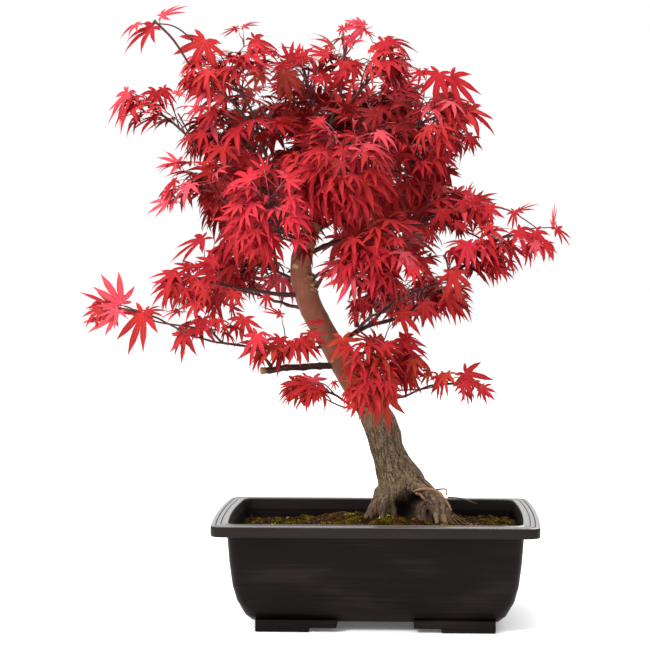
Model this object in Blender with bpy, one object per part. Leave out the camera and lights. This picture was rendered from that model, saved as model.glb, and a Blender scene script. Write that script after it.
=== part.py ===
"""A japanese maple bonsai in a rectangular training pot.

The plant is built the way it grows. A leaning, S-shaped trunk rises from a
flat cut at soil level, boughs leave it (or leave another bough), and every
bough or trunk top carries one mass of foliage: a stem, and star-shaped leaves,
each on its own twig. Each piece keeps a hair's gap to its neighbour.

Metres, +Z up, the viewer stands on the -Y side. While it is modelled, the
pot's middle is at x = y = 0 and the floor is z = 0; the last step moves
everything so that the middle of the whole plant's box is there instead.
"""
import math
import random

import bmesh
import bpy
from mathutils import Matrix, Vector
from mathutils.bvhtree import BVHTree

MM = 0.001
GAP = 0.3 * MM                       # clearance between neighbouring pieces
SAME_POINT = 0.0005 * MM             # corners nearer than this are one corner

# ------------------------------------------------------------------ the pot
RIM_X = 135 * MM                     # half length over the rim
RIM_Y = 100 * MM                     # half width over the rim
POT_TOP = 91 * MM
RIM_DROP = 9 * MM                    # height of the rim's outer band
RIM_OVERHANG = 12.8 * MM             # rim beyond the body
WALL = 2.4 * MM
END_BULGE = 3.5 * MM                 # how far the short ends bow outward
CORNER = 9 * MM                      # corner radius, seen from above
FLOOR_UNDER = 8 * MM                 # underside of the pot's floor
FOOT_X = 100 * MM                    # outer end of a foot, from the middle
FOOT_Y = 76 * MM                     # outer side of a foot, from the middle
FOOT_LENGTH = 45 * MM
FOOT_STEP = 22 * MM                  # the shallow part of a foot, raised off the floor
FOOT_WIDTH = 30 * MM
FOOT_RAISE = 3.5 * MM

# body: height, and how far the wall has drawn in from its top
BODY = ((80, 0.0), (58, 1.6), (39, 4.0), (26, 7.4), (13, 14.0), (8, 19.0))

# ----------------------------------------------------------------- the soil
SOIL_EDGE = 74 * MM
SOIL_MOUND = 80 * MM                 # level of the soil round the trunk
MOUND_CENTRE = (22 * MM, 4 * MM)
MOUND_FLAT = (66 * MM, 34 * MM)      # half size of the level part
MOUND_FALL = (60 * MM, 45 * MM)      # from there to the lowest soil
MOSS_RISE = 1.9 * MM                 # moss lifts the soil in low swells
MOSS_PACE = (8.6 * MM, 8.0 * MM)     # a swell is pi times this across
FOOT_CENTRE = (24 * MM, 6 * MM)      # no swells round the trunk's foot
FOOT_HALF = (68 * MM, 46 * MM)
SWELL_EDGE = 0.3                     # share of that size over which the swells fade in
SOIL_SHARES = (0.93, 0.82, 0.70, 0.58, 0.46)   # rings of the surface, towards the trunk

# ---------------------------------------------------------------- the trunk
# centreline of the trunk in mm: x, y, height, radius
TRUNK = (
    (24, 14, 70, 27), (23, 14, 84, 26), (22, 14, 100, 24.5), (21, 14, 115, 22), (16, 13, 127, 17.2),
    (9, 13, 143, 14.8), (4, 12, 161, 15), (-5, 11, 181, 13.6), (-22, 8, 207, 11.8),
    (-43, 3, 242, 10), (-59, 2, 273, 10.2), (-66, 1, 300, 9.4), (-62, 0, 323, 8.6), (-53, 0, 345, 6.6),
    (-51, 1, 357, 5.4),
)
TRUNK_CUT = SOIL_MOUND + GAP         # the flat cut at soil level
EARTH_HALF = 200 * MM                # half side of the block that cuts the trunk off level
TRUNK_SIDES = 14
FLUTES = 5
FLUTE_DEPTH = 0.10                   # share of the radius, at the foot
FLUTE_HEIGHT = 60 * MM               # above this the trunk is nearly round
# surface roots: name, then the route in mm: x, y, height, radius
ROOTS = (
    ("left_root", ((14, 12, 100, 13), (0, 10, 90, 11), (-12, 8, 78, 9), (-20, 6, 70, 7))),
    ("right_root", ((24, 8, 112, 13), (38, 0, 109, 10.5), (50, -8, 99, 8.6), (57, -15, 89, 7),
                    (64, -22, 75, 5))),
    ("back_root", ((26, 18, 108, 12), (42, 24, 98, 9), (58, 28, 84, 6), (68, 30, 72, 4))),
    ("front_root", ((16, 6, 98, 11), (10, -6, 86, 9), (6, -14, 72, 7))),
)

# --------------------------------------------------------- foliage and limbs
# each mass: middle of its space in mm, half size of its space in mm
MASSES = {
    "left_far": ((-219, -36, 268), (38, 26, 22)),
    "left_low": ((-144, -26, 251), (43, 34, 22)),
    "stub_cloud": ((-78, -16, 231), (43, 30, 18)),
    "low_left": ((-52, -26, 199), (36, 30, 17)),
    "front_low": ((-6, -44, 219), (30, 27, 44)),
    "low_right": ((19, -8, 220), (29, 34, 25)),
    "low_right_far": ((72, -16, 203), (32, 28, 17)),
    "left_mid": ((-149, -24, 289), (46, 34, 24)),
    "left_inner": ((-108, 36, 305), (42, 32, 38)),
    "back_low_left": ((-132, 86, 280), (43, 38, 31)),
    "right_low": ((44, 46, 277), (44, 36, 22)),
    "back_low_right": ((20, 120, 276), (50, 36, 28)),
    "right_mid": ((-4, -54, 313), (53, 34, 34)),
    "right_far": ((85, -12, 316), (39, 32, 26)),
    "right_upper": ((63, 8, 350), (43, 36, 24)),
    "right_tip": ((124, -14, 328), (40, 24, 22)),
    "crown_right": ((27, 14, 397), (38, 40, 38)),
    "right_shoulder": ((52, -16, 430), (44, 36, 37)),
    "top_right": ((4, -8, 473), (28, 34, 31)),
    "top_tuft": ((-28, 14, 486), (26, 34, 36)),
    "top_centre": ((-63, 22, 467), (32, 34, 33)),
    "crown_top": ((2, 50, 436), (42, 36, 36)),
    "top_left": ((-126, -42, 468), (45, 38, 33)),
    "top_left_tip": ((-178, -68, 503), (30, 28, 21)),
    "left_upper": ((-188, 4, 438), (46, 34, 21)),
    "left_mid_upper": ((-146, -34, 371), (44, 36, 29)),
    "centre_left": ((-86, -86, 352), (38, 34, 38)),
    "crown_heart": ((-30, -56, 384), (46, 38, 43)),
    "crown_left": ((-126, 22, 426), (47, 34, 36)),
    "back_top": ((-58, 92, 430), (50, 42, 46)),
    "back_left": ((-121, 96, 369), (46, 40, 42)),
    "back_right": ((20, 96, 366), (51, 40, 44)),
}

# each limb: parent, share of the parent's length where it leaves, the mass it runs to,
# share of the way it covers, its bow in mm (x, y, z), radii at root and tip in mm
LIMBS = {
    "cut_stub": ("trunk", 0.515, None, 1.0, (0, 0, 1), 3.0, 2.6),
    "left_shoot": ("cut_stub", 0.86, "left_low", 0.62, (4, -3, 5), 1.5, 1.0),
    "left_far_shoot": ("left_shoot", 0.80, "left_far", 0.62, (0, -14, -3), 1.0, 0.8),
    "low_left_twig": ("trunk", 0.355, "low_left", 0.52, (3, -2, -4), 1.8, 1.0),
    "low_right_twig": ("trunk", 0.405, "low_right_far", 0.56, (0, -8, -3), 1.5, 0.9),
    "left_bough": ("trunk", 0.735, "left_mid", 0.62, (0, 0, -1), 2.4, 1.3),
    "left_back_bough": ("trunk", 0.70, "back_low_left", 0.52, (0, 6, -2), 1.9, 1.1),
    "right_bough": ("trunk", 0.545, "right_low", 0.60, (-10, 16, 4), 2.7, 1.6),
    "right_back_bough": ("right_bough", 0.50, "back_low_right", 0.50, (0, 4, 3), 1.7, 1.1),
    "right_front_bough": ("trunk", 0.755, "right_mid", 0.52, (0, 2, 7), 2.0, 1.2),
    "right_far_bough": ("right_bough", 0.66, "right_far", 0.52, (0, -6, 5), 1.5, 1.0),
    "right_reach_bough": ("trunk", 0.845, "right_upper", 0.62, (0, 4, 5), 2.3, 1.3),
    "right_tip_shoot": ("right_reach_bough", 0.90, "right_tip", 0.66, (4, -14, 8), 1.2, 0.8),
    "crown_right_bough": ("trunk", 0.945, "crown_right", 0.56, (-4, 2, 5), 2.1, 1.2),
    "leader": ("trunk", 1.0, "top_tuft", 0.64, (-4, 4, 0), 4.4, 1.6),
    "shoulder_bough": ("leader", 0.46, "right_shoulder", 0.56, (-4, 0, 5), 1.8, 1.1),
    "top_left_bough": ("trunk", 0.93, "top_left", 0.66, (-5, -6, -3), 2.3, 1.2),
    "top_left_shoot": ("top_left_bough", 0.84, "top_left_tip", 0.52, (4, -4, 2), 1.2, 0.8),
    "left_upper_bough": ("trunk", 0.915, "left_upper", 0.64, (0, 10, 5), 1.8, 1.0),
    "left_high_bough": ("trunk", 0.875, "left_mid_upper", 0.55, (0, -2, 3), 1.8, 1.1),
    "front_left_bough": ("trunk", 0.815, "centre_left", 0.50, (2, 0, 6), 1.7, 1.1),
    "back_left_bough": ("trunk", 0.895, "back_left", 0.56, (0, 4, 4), 1.9, 1.1),
    "back_right_bough": ("trunk", 0.905, "back_right", 0.56, (0, 4, 4), 1.9, 1.1),
    "heart_bough": ("trunk", 0.95, "crown_heart", 0.42, (3, -5, -2), 1.7, 1.1),
}
STUB_END = Vector((-99, -15, 214))   # cut end of the dead stub, mm
LIMB_SIDES = 6
LIMB_STEPS = 5
# masses whose stem grows from the side of another piece: parent, share of its length
SIDE_STEMS = {
    "stub_cloud": ("trunk", 0.580),
    "front_low": ("trunk", 0.480),
    "low_right": ("trunk", 0.440),
    "crown_left": ("top_left_bough", 0.36),
    "back_top": ("leader", 0.22),
    "left_inner": ("trunk", 0.775),
    "top_right": ("leader", 0.82),
    "top_centre": ("leader", 0.62),
    "crown_top": ("leader", 0.40),
}

# ---------------------------------------------------------------- the leaves
LEAF = 48 * MM                       # petiole root to the tip of the middle lobe
PETIOLE_SHARE = 0.24                 # share of that length that is petiole
LEAF_THICK = 1.3 * MM
LOBES = ((-82, 0.66), (-41, 0.92), (0, 1.0), (41, 0.92), (82, 0.66))   # heading, share of length
NOTCH = 0.40                         # depth left between two lobes
LOBE_SAG = 0.22                      # how far a lobe's tip hangs
NOTCH_SAG = 0.05
HEART = 0.10                         # thickest point of the blade, beyond its base
SHOULDER = 0.16                      # half width of the blade at its base
LEAF_SIZES = (1.0, 0.84, 0.7, 0.58)  # a leaf with no room is tried smaller, then skipped
LEAVES_PER_MASS = 8
TRIES = 110                          # places round a mass where a leaf is tried
SPACINGS = (24 * MM, 16 * MM, 10 * MM)   # room round each leaf, narrowed until the mass is full
STACKING = 3.0                       # one blade may lie this many times nearer above another
HEART_TO_TIP = 0.40                  # share of a leaf's length beyond the heart of its blade
DROOP = 0.28                         # how far leaves hang below their twig's heading
FACE_OUT = 0.9                       # how far blades lean out, towards the front or the back
BACK_FROM = 60 * MM                  # masses behind this lean towards the back
LEAN = 0.3                           # how far a mass's common plane may lean sideways
TIP_REACH = (0.92, 1.04)             # where leaf tips come, as a share of their mass's half size
FIRST_TWIG = 0.25                    # no twig leaves a stem before this share of it
TWIG_BACK = 0.15                     # a twig leaves its stem this share before its leaf
WOBBLE = 0.12                        # how far each blade strays from its neighbours' plane
FLATTEN = 0.85                       # how far leaves lie in their mass's common plane
SLACK = 9 * MM                       # how far lobes may pass the space of their mass
STEM_SIDES = 4
STEM_END = 1.15 * MM
SIDE_STEM = 1.5 * MM                 # radius of a stem where it leaves a parent's side
STEM_PAST = 0.30                     # how far a stem runs past the middle of its mass
STEM_LIFT = 2 * MM
STEM_STRAIGHT = 4 * MM               # a stem keeps its limb's heading at least this far
STEM_FIRST = 0.25                    # shares of a stem's length where it bends
STEM_SECOND = 0.65
TWIG_ROOT = 0.7 * MM
TWIG_TIP = 0.6 * MM
SHORTEST_TWIG = 4 * MM
STEM_ROOM = 2.2 * MM                 # stretch of a twig that may touch its stem
SHARPEST_TURN = -0.4                # cosine of the sharpest turn from twig to petiole
MOST_TWIST = 0.85                    # how far a twig may run across its blade
LEEWAY = 0.4 * MM                    # room kept round each twig and leaf
HALF_SIDE = math.sqrt(3) / 2         # of a three-sided twig, as a share of its radius
FEWEST_FACES = 40                    # a mass with fewer has lost its leaves in the union
SEED = 11

RED = {"crimson": (0.50, 0.018, 0.024), "scarlet": (0.60, 0.035, 0.020), "pink": (0.62, 0.055, 0.085)}
TINTS = {"left_far": "pink", "right_tip": "pink", "top_left_tip": "pink", "front_low": "scarlet",
         "low_left": "scarlet", "low_right": "scarlet", "low_right_far": "scarlet", "stub_cloud": "scarlet"}


# -------------------------------------------------------------- small helpers
def material(name, colour, roughness, metallic=0.0):
    """A plain Principled material, made once for each name."""
    found = bpy.data.materials.get(name)
    if found:
        return found
    made = bpy.data.materials.new(name)
    made.use_nodes = True
    shader = made.node_tree.nodes["Principled BSDF"]
    shader.inputs["Base Color"].default_value = (*colour, 1.0)
    shader.inputs["Roughness"].default_value = roughness
    shader.inputs["Metallic"].default_value = metallic
    made.diffuse_color = (*colour, 1.0)
    return made


def add_object(name, verts, faces, made_of, smooth_angle=40):
    """Put a mesh in the scene as one object with its faces pointing out."""
    mesh = bpy.data.meshes.new(name)
    mesh.from_pydata([tuple(v) for v in verts], [], faces)
    bm = bmesh.new()
    bm.from_mesh(mesh)
    bmesh.ops.recalc_face_normals(bm, faces=bm.faces)
    bm.to_mesh(mesh)
    bm.free()
    mesh.shade_smooth()
    mesh.set_sharp_from_angle(angle=math.radians(smooth_angle))
    obj = bpy.data.objects.new(name, mesh)
    obj.data.materials.append(made_of)
    bpy.context.collection.objects.link(obj)
    return obj


def loft(rings):
    """Join equal rings of points into a closed skin with a flat cap at each end."""
    count = len(rings[0])
    verts = [point for ring in rings for point in ring]
    faces = []
    for row in range(len(rings) - 1):
        for k in range(count):
            a = row * count + k
            b = row * count + (k + 1) % count
            faces.append((a, b, b + count, a + count))
    faces.append(tuple(reversed(range(count))))
    faces.append(tuple(range((len(rings) - 1) * count, len(rings) * count)))
    return verts, faces


def smooth_route(points, steps):
    """Catmull-Rom curve through the points (any number of values each)."""
    ends = [points[0] * 2 - points[1]] + list(points) + [points[-1] * 2 - points[-2]]
    route = []
    for k in range(1, len(ends) - 2):
        p0, p1, p2, p3 = ends[k - 1:k + 3]
        for step in range(steps):
            t = step / steps
            route.append(0.5 * ((2 * p1) + (p2 - p0) * t + (2 * p0 - 5 * p1 + 4 * p2 - p3) * t ** 2
                                + (3 * p1 - p0 - 3 * p2 + p3) * t ** 3))
    route.append(points[-1].copy())
    return route


def tube(points, radii, sides, shape=None):
    """A tapering limb round a centreline; shape(turn, row) scales its outline."""
    rings = []
    side = None
    for row, point in enumerate(points):
        ahead = points[min(row + 1, len(points) - 1)] - points[max(row - 1, 0)]
        ahead.normalize()
        if side is None:
            side = ahead.orthogonal().normalized()
        side = (side - ahead * side.dot(ahead)).normalized()
        across = ahead.cross(side)
        ring = []
        for k in range(sides):
            turn = 2 * math.pi * k / sides
            reach = radii[row] * (shape(turn, row) if shape else 1.0)
            ring.append(point + (side * math.cos(turn) + across * math.sin(turn)) * reach)
        rings.append(ring)
    return loft(rings)


def apply_boolean(obj, operation, other=None, group=None, solver="EXACT"):
    """Cut or join obj with one object or with a whole collection, for good."""
    step = obj.modifiers.new("boolean", "BOOLEAN")
    step.operation = operation
    step.solver = solver
    if group:
        step.operand_type = "COLLECTION"
        step.collection = group
    else:
        step.object = other
    bpy.context.view_layer.update()
    depsgraph = bpy.context.evaluated_depsgraph_get()
    result = bpy.data.meshes.new_from_object(obj.evaluated_get(depsgraph))
    obj.modifiers.clear()
    old = obj.data
    obj.data = result
    bpy.data.meshes.remove(old)


def remove(obj):
    """Take a helper object and its mesh away."""
    mesh = obj.data
    bpy.data.objects.remove(obj)
    bpy.data.meshes.remove(mesh)


def keep_largest_body(obj):
    """Drop loose scraps and fill sealed hollows: only the largest skin stays.

    Tells whether that skin is closed, and how many bodies there were.
    """
    bm = bmesh.new()
    bm.from_mesh(obj.data)
    bmesh.ops.remove_doubles(bm, verts=bm.verts, dist=SAME_POINT)
    waiting = set(bm.faces)
    bodies = []
    while waiting:
        stack = [waiting.pop()]
        body = set(stack)
        while stack:
            for edge in stack.pop().edges:
                for face in edge.link_faces:
                    if face in waiting:
                        waiting.discard(face)
                        body.add(face)
                        stack.append(face)
        bodies.append(body)
    largest = max(bodies, key=len)
    bmesh.ops.delete(bm, geom=[face for face in bm.faces if face not in largest], context="FACES")
    closed = all(len(edge.link_faces) == 2 for edge in bm.edges)
    bmesh.ops.triangulate(bm, faces=bm.faces)
    bm.to_mesh(obj.data)
    bm.free()
    return closed, len(bodies)


# -------------------------------------------------------------------- the pot
def pot_outline(half_x, half_y, bulge, height, per_side=6, per_corner=2):
    """A rounded rectangle whose two short ends bow outward."""
    ring = []
    corners = ((1, 1, 0), (-1, 1, 90), (-1, -1, 180), (1, -1, 270))
    for sign_x, sign_y, start in corners:
        middle = Vector((sign_x * (half_x - CORNER), sign_y * (half_y - CORNER), height))
        for k in range(per_corner + 1):
            turn = math.radians(start + 90 * k / per_corner)
            ring.append(middle + Vector((math.cos(turn), math.sin(turn), 0)) * CORNER)
        short_end = sign_x * sign_y < 0
        if short_end:
            for k in range(1, per_side):
                share = 1 - 2 * k / per_side
                ring.append(Vector((sign_x * half_x, sign_y * (half_y - CORNER) * share, height)))
    for point in ring:
        across = max(0.0, 1 - (point.y / half_y) ** 2)
        if abs(point.x) > half_x - CORNER:
            point.x += math.copysign(bulge * across, point.x)
    return ring


def body_half(height):
    """Half length and half width of the outer wall at a height."""
    for (top, inset_top), (low, inset_low) in zip(BODY, BODY[1:]):
        if height >= low * MM:
            share = (top * MM - height) / ((top - low) * MM)
            inset = (inset_top + (inset_low - inset_top) * share) * MM
            return RIM_X - RIM_OVERHANG - inset, RIM_Y - RIM_OVERHANG - inset
    inset = BODY[-1][1] * MM
    return RIM_X - RIM_OVERHANG - inset, RIM_Y - RIM_OVERHANG - inset


def build_pot():
    """Hollow pot: tapering bowed body, overhanging rim with a bead, four stepped feet."""
    rings = [pot_outline(*body_half(h * MM), END_BULGE, h * MM) for h, _ in reversed(BODY)]
    under_rim = POT_TOP - RIM_DROP
    body_x, body_y = body_half(under_rim)
    rings.append(pot_outline(body_x, body_y, END_BULGE, under_rim))
    lip = 1.2 * MM
    rings.append(pot_outline(RIM_X - lip / 2, RIM_Y - lip / 2, END_BULGE, under_rim))
    rings.append(pot_outline(RIM_X, RIM_Y, END_BULGE, POT_TOP - lip))
    rings.append(pot_outline(RIM_X - lip, RIM_Y - lip, END_BULGE, POT_TOP))
    bead = body_x - WALL + 2 * MM
    bead_y = body_y - WALL + 2 * MM
    rings.append(pot_outline(bead, bead_y, END_BULGE, POT_TOP))
    rings.append(pot_outline(bead - 2 * MM, bead_y - 2 * MM, END_BULGE, POT_TOP - 1.5 * MM))
    for height, _ in BODY[:-1]:
        half_x, half_y = body_half(height * MM)
        level = max(height * MM, FLOOR_UNDER + WALL)
        rings.append(pot_outline(half_x - WALL, half_y - WALL, END_BULGE, level))
    half_x, half_y = body_half(FLOOR_UNDER + WALL)
    rings.append(pot_outline(half_x - WALL - MM, half_y - WALL - MM, END_BULGE, FLOOR_UNDER + WALL))
    plastic = material("black_plastic", (0.020, 0.017, 0.016), 0.42)
    pot = add_object("pot", *loft(rings), plastic, 35)
    feet = bpy.data.collections.new("feet")
    bpy.context.scene.collection.children.link(feet)
    for sign_x in (1, -1):
        for sign_y in (1, -1):
            for start, length, low in ((0, FOOT_LENGTH, 0.0), (FOOT_LENGTH - 4 * MM, FOOT_STEP, FOOT_RAISE)):
                foot = box_between((sign_x * (FOOT_X - start), sign_y * FOOT_Y, low),
                                   (sign_x * (FOOT_X - start - length), sign_y * (FOOT_Y - FOOT_WIDTH),
                                    FLOOR_UNDER + 0.5 * WALL), plastic)
                feet.objects.link(foot)
                bpy.context.collection.objects.unlink(foot)
    apply_boolean(pot, "UNION", group=feet)
    for foot in list(feet.objects):
        remove(foot)
    bpy.data.collections.remove(feet)
    keep_largest_body(pot)
    return pot


def box_between(low, high, made_of):
    """A box from one corner to the opposite one."""
    bm = bmesh.new()
    bmesh.ops.create_cube(bm, size=1.0)
    low, high = Vector(low), Vector(high)
    size = high - low
    for vert in bm.verts:
        vert.co = Vector(low[k] + size[k] * (vert.co[k] + 0.5) for k in range(3))
    verts = [v.co.copy() for v in bm.verts]
    faces = [tuple(v.index for v in f.verts) for f in bm.faces]
    bm.free()
    return add_object("foot", verts, faces, made_of)


# ------------------------------------------------------------------- the soil
def moss_swell(x, y):
    """Low swells of moss, none of them close to the trunk's foot."""
    beyond = math.hypot((x - FOOT_CENTRE[0]) / FOOT_HALF[0], (y - FOOT_CENTRE[1]) / FOOT_HALF[1]) - 1
    share = min(1.0, max(0.0, beyond / SWELL_EDGE))
    return MOSS_RISE * share * math.sin(x / MOSS_PACE[0]) * math.cos(y / MOSS_PACE[1])


def soil_height(x, y):
    """Soil surface: level round the trunk, falling gently to the walls, with moss on it."""
    away_x = max(0.0, abs(x - MOUND_CENTRE[0]) - MOUND_FLAT[0]) / MOUND_FALL[0]
    away_y = max(0.0, abs(y - MOUND_CENTRE[1]) - MOUND_FLAT[1]) / MOUND_FALL[1]
    away = min(1.0, math.hypot(away_x, away_y))
    return SOIL_MOUND + (SOIL_EDGE - SOIL_MOUND) * away * away * (3 - 2 * away) + moss_swell(x, y)


def build_soil():
    """The root ball that fills the pot, a hair clear of its walls."""
    inner = WALL + GAP
    bottom = FLOOR_UNDER + WALL + GAP
    rings = []
    for height in (bottom, 13 * MM, 26 * MM, 39 * MM, 58 * MM, SOIL_EDGE):
        half_x, half_y = body_half(height)
        tighter = MM if height < 14 * MM else 0.0
        rings.append(pot_outline(half_x - inner - tighter, half_y - inner - tighter, END_BULGE, height))
    top = rings[-1]
    middle = Vector((MOUND_CENTRE[0], MOUND_CENTRE[1], 0))
    for share in SOIL_SHARES:
        ring = []
        for point in top:
            near = middle + (Vector((point.x, point.y, 0)) - middle) * share
            ring.append(Vector((near.x, near.y, soil_height(near.x, near.y))))
        rings.append(ring)
    soil = add_object("soil", *loft(rings), material("soil", (0.085, 0.060, 0.030), 0.95), 30)
    keep_largest_body(soil)
    return soil


# ------------------------------------------------------------------ the trunk
def trunk_route():
    """Centreline points and radii of the trunk, in metres."""
    rows = smooth_route([Vector(row) * MM for row in TRUNK], 2)
    return [Vector(row[:3]) for row in rows], [row[3] for row in rows]


def trunk_skin(extra):
    """Trunk outline: fluted at the foot, nearly round above."""
    points, radii = trunk_route()
    ridges = [max(0.0, 1 - (point.z - TRUNK_CUT) / FLUTE_HEIGHT) for point in points]

    def shape(turn, row):
        flute = FLUTE_DEPTH * ridges[row] * math.cos(FLUTES * turn + 0.6)
        return 1 + flute + 0.02 * math.cos(3 * turn + 90 * points[row].z)

    return tube(points, [radius + extra for radius in radii], TRUNK_SIDES, shape)


def build_trunk():
    """Trunk with its surface roots, cut flat at soil level."""
    bark = material("bark", (0.29, 0.20, 0.13), 0.85)
    trunk = add_object("trunk", *trunk_skin(0.0), bark, 60)
    for _, route in ROOTS:
        rows = smooth_route([Vector(row) * MM for row in route], 3)
        skin = tube([Vector(row[:3]) for row in rows], [row[3] for row in rows], 8)
        root = add_object("root", *skin, bark)
        apply_boolean(trunk, "UNION", other=root)
        remove(root)
    below = box_between((-EARTH_HALF, -EARTH_HALF, 0.0), (EARTH_HALF, EARTH_HALF, TRUNK_CUT), bark)
    apply_boolean(trunk, "DIFFERENCE", other=below)
    remove(below)
    keep_largest_body(trunk)
    return trunk


# ------------------------------------------------------------------ the limbs
class Limb:
    """A centreline that other pieces can leave from or continue."""

    def __init__(self, points, radii):
        self.points = points
        self.radii = radii
        self.lengths = [0.0]
        for a, b in zip(points, points[1:]):
            self.lengths.append(self.lengths[-1] + (b - a).length)

    def at(self, share):
        """The centreline point at a share of the length."""
        goal = share * self.lengths[-1]
        for k in range(1, len(self.points)):
            if self.lengths[k] >= goal:
                part = (goal - self.lengths[k - 1]) / (self.lengths[k] - self.lengths[k - 1])
                return self.points[k - 1].lerp(self.points[k], part)
        return self.points[-1].copy()

    def nearest(self, point):
        """Share of the length where the centreline comes nearest to a point."""
        return min((k / 20 for k in range(21)), key=lambda share: (self.at(share) - point).length)

    def end_direction(self):
        return (self.points[-1] - self.points[-2]).normalized()


def limb_routes():
    """Centrelines of the trunk and of every limb, worked out from the masses they carry."""
    limbs = {"trunk": Limb(*trunk_route())}
    for name, (parent, share, mass, reach, bow, root_radius, tip_radius) in LIMBS.items():
        start = limbs[parent].at(share)
        goal = (STUB_END if mass is None else Vector(MASSES[mass][0])) * MM
        if share == 1.0:
            start += limbs[parent].end_direction() * GAP
        points = []
        for k in range(LIMB_STEPS + 1):
            t = k / LIMB_STEPS
            points.append(start.lerp(goal, reach * t) + Vector(bow) * MM * math.sin(math.pi * t))
        if share == 1.0:
            points[1] = start + limbs[parent].end_direction() * (points[1] - start).length
        radii = []
        for k in range(LIMB_STEPS + 1):
            radii.append((root_radius + (tip_radius - root_radius) * k / LIMB_STEPS) * MM)
        limbs[name] = Limb(points, radii)
    return limbs


def build_limbs(limbs):
    """One tapering solid for each limb, shaped at its root to sit round its parent."""
    bark = material("bough_bark", (0.16, 0.075, 0.055), 0.75)
    made = {}
    for name, (parent, share, *_) in LIMBS.items():
        limb = limbs[name]
        obj = add_object(name, *tube(limb.points, limb.radii, LIMB_SIDES), bark)
        if share < 1.0:
            clear_of(obj, parent, limbs)
        keep_largest_body(obj)
        made[name] = obj
    return made


def clear_of(obj, parent, limbs):
    """Cut obj a hair clear of the trunk or limb that it grows from."""
    if parent == "trunk":
        skin = trunk_skin(GAP)
    else:
        limb = limbs[parent]
        skin = tube(limb.points, [radius + GAP for radius in limb.radii], LIMB_SIDES)
    cutter = add_object("cutter", *skin, obj.data.materials[0])
    apply_boolean(obj, "DIFFERENCE", other=cutter)
    remove(cutter)


# ---------------------------------------------------------------- the foliage
def leaf_skin(origin, root, along, facing, length, swell=0.0):
    """A closed star-shaped leaf on its own twig.

    The twig is three-sided and runs from origin to root. There the leaf's petiole
    turns to its heading, and the blade's lobes spread round the end of it.
    """
    across = facing.cross(along).normalized()
    up = along.cross(across).normalized()
    blade = length * (1 - PETIOLE_SHARE)
    base = Vector((length * PETIOLE_SHARE, 0, 0))
    rim = []
    for k, (heading, share) in enumerate(LOBES):
        turn = math.radians(heading)
        rim.append(base + Vector((math.cos(turn), math.sin(turn), -LOBE_SAG * share)) * blade * share)
        if k < len(LOBES) - 1:
            turn = math.radians((heading + LOBES[k + 1][0]) / 2)
            rim.append(base + Vector((math.cos(turn), math.sin(turn), -NOTCH_SAG)) * blade * NOTCH)
    heart = base + Vector((HEART * blade, 0, 0))
    if swell:
        rim = [heart + (point - heart) * (1 + 2 * swell / blade) for point in rim]
    shoulder = SHOULDER * blade
    rim.append(base + Vector((0, shoulder, 0)))
    rim.insert(0, base + Vector((0, -shoulder, 0)))
    thick = LEAF_THICK / 2 + swell
    local = rim + [heart + Vector((0, 0, thick)), heart + Vector((0, 0, -thick))]
    verts = [root + along * p.x + across * p.y + up * p.z for p in local]
    count = len(rim)
    top, low = count, count + 1
    way = (root - origin).normalized()
    for centre, radius, ahead in ((root, TWIG_TIP + swell, way + along), (origin, TWIG_ROOT + swell, way)):
        ahead = ahead.normalized()
        aside = (across - ahead * across.dot(ahead)).normalized()
        above = ahead.cross(aside)
        verts.append(centre + (aside * HALF_SIDE - above / 2) * radius)
        verts.append(centre - (aside * HALF_SIDE + above / 2) * radius)
        verts.append(centre + above * radius)
    left, right, ridge, far_left, far_right, far_ridge = range(count + 2, count + 8)
    faces = []
    for k in range(count - 1):
        faces.append((k, k + 1, top))
        faces.append((k + 1, k, low))
    faces += [(count - 1, left, ridge, top), (right, 0, top, ridge), (left, count - 1, low), (0, right, low),
              (right, left, low), (far_left, far_right, right, left), (far_right, far_ridge, ridge, right),
              (far_ridge, far_left, left, ridge), (far_left, far_ridge, far_right)]
    return verts, faces


def spacing(step, facing):
    """Distance between two blades, where lying one above the other counts for more."""
    above = step.dot(facing)
    return math.hypot((step - facing * above).length, above * STACKING)


def inside(point, centre, half):
    """True while a point is in the rounded space that belongs to a mass."""
    return sum(abs((point[k] - centre[k]) / (half[k] + SLACK)) ** 3 for k in range(3)) <= 1


def touches(verts, faces, trees):
    """True where a skin crosses any of the skins that are already there."""
    skin = BVHTree.FromPolygons(verts, faces)
    return any(skin.overlap(tree) for tree in trees)


def mass_stem(name, limbs):
    """Where a mass's stem runs: from its limb's tip or from its parent's side, through its middle."""
    centre = Vector(MASSES[name][0]) * MM
    half = Vector(MASSES[name][1]) * MM
    if name in SIDE_STEMS:
        parent, share = SIDE_STEMS[name]
        start = limbs[parent].at(share)
        ahead = (centre - start).normalized()
        radius = SIDE_STEM
    else:
        carrier = next(limb for limb, row in LIMBS.items() if row[2] == name)
        ahead = limbs[carrier].end_direction()
        start = limbs[carrier].points[-1] + ahead * GAP
        radius = limbs[carrier].radii[-1]
        parent = None
    heading = (centre - start).normalized()
    end = centre + Vector(heading[k] * half[k] for k in range(3)) * STEM_PAST
    first = start + ahead * max(STEM_STRAIGHT, STEM_FIRST * (end - start).length)
    route = [start, first, start.lerp(end, STEM_SECOND) + Vector((0, 0, STEM_LIFT)), end]
    radii = [radius + (STEM_END - radius) * k / (len(route) - 1) for k in range(len(route))]
    return route, radii, parent


def spread_headings(count, rule):
    """Even directions all round, in mixed order."""
    golden = math.pi * (3 - math.sqrt(5))
    first = rule.uniform(0, 2 * math.pi)
    headings = []
    for k in range(count):
        height = 1 - 2 * (k + 0.5) / count
        flat = math.sqrt(1 - height * height)
        turn = first + k * golden
        headings.append(Vector((flat * math.cos(turn), flat * math.sin(turn), height)))
    rule.shuffle(headings)
    return headings


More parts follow.
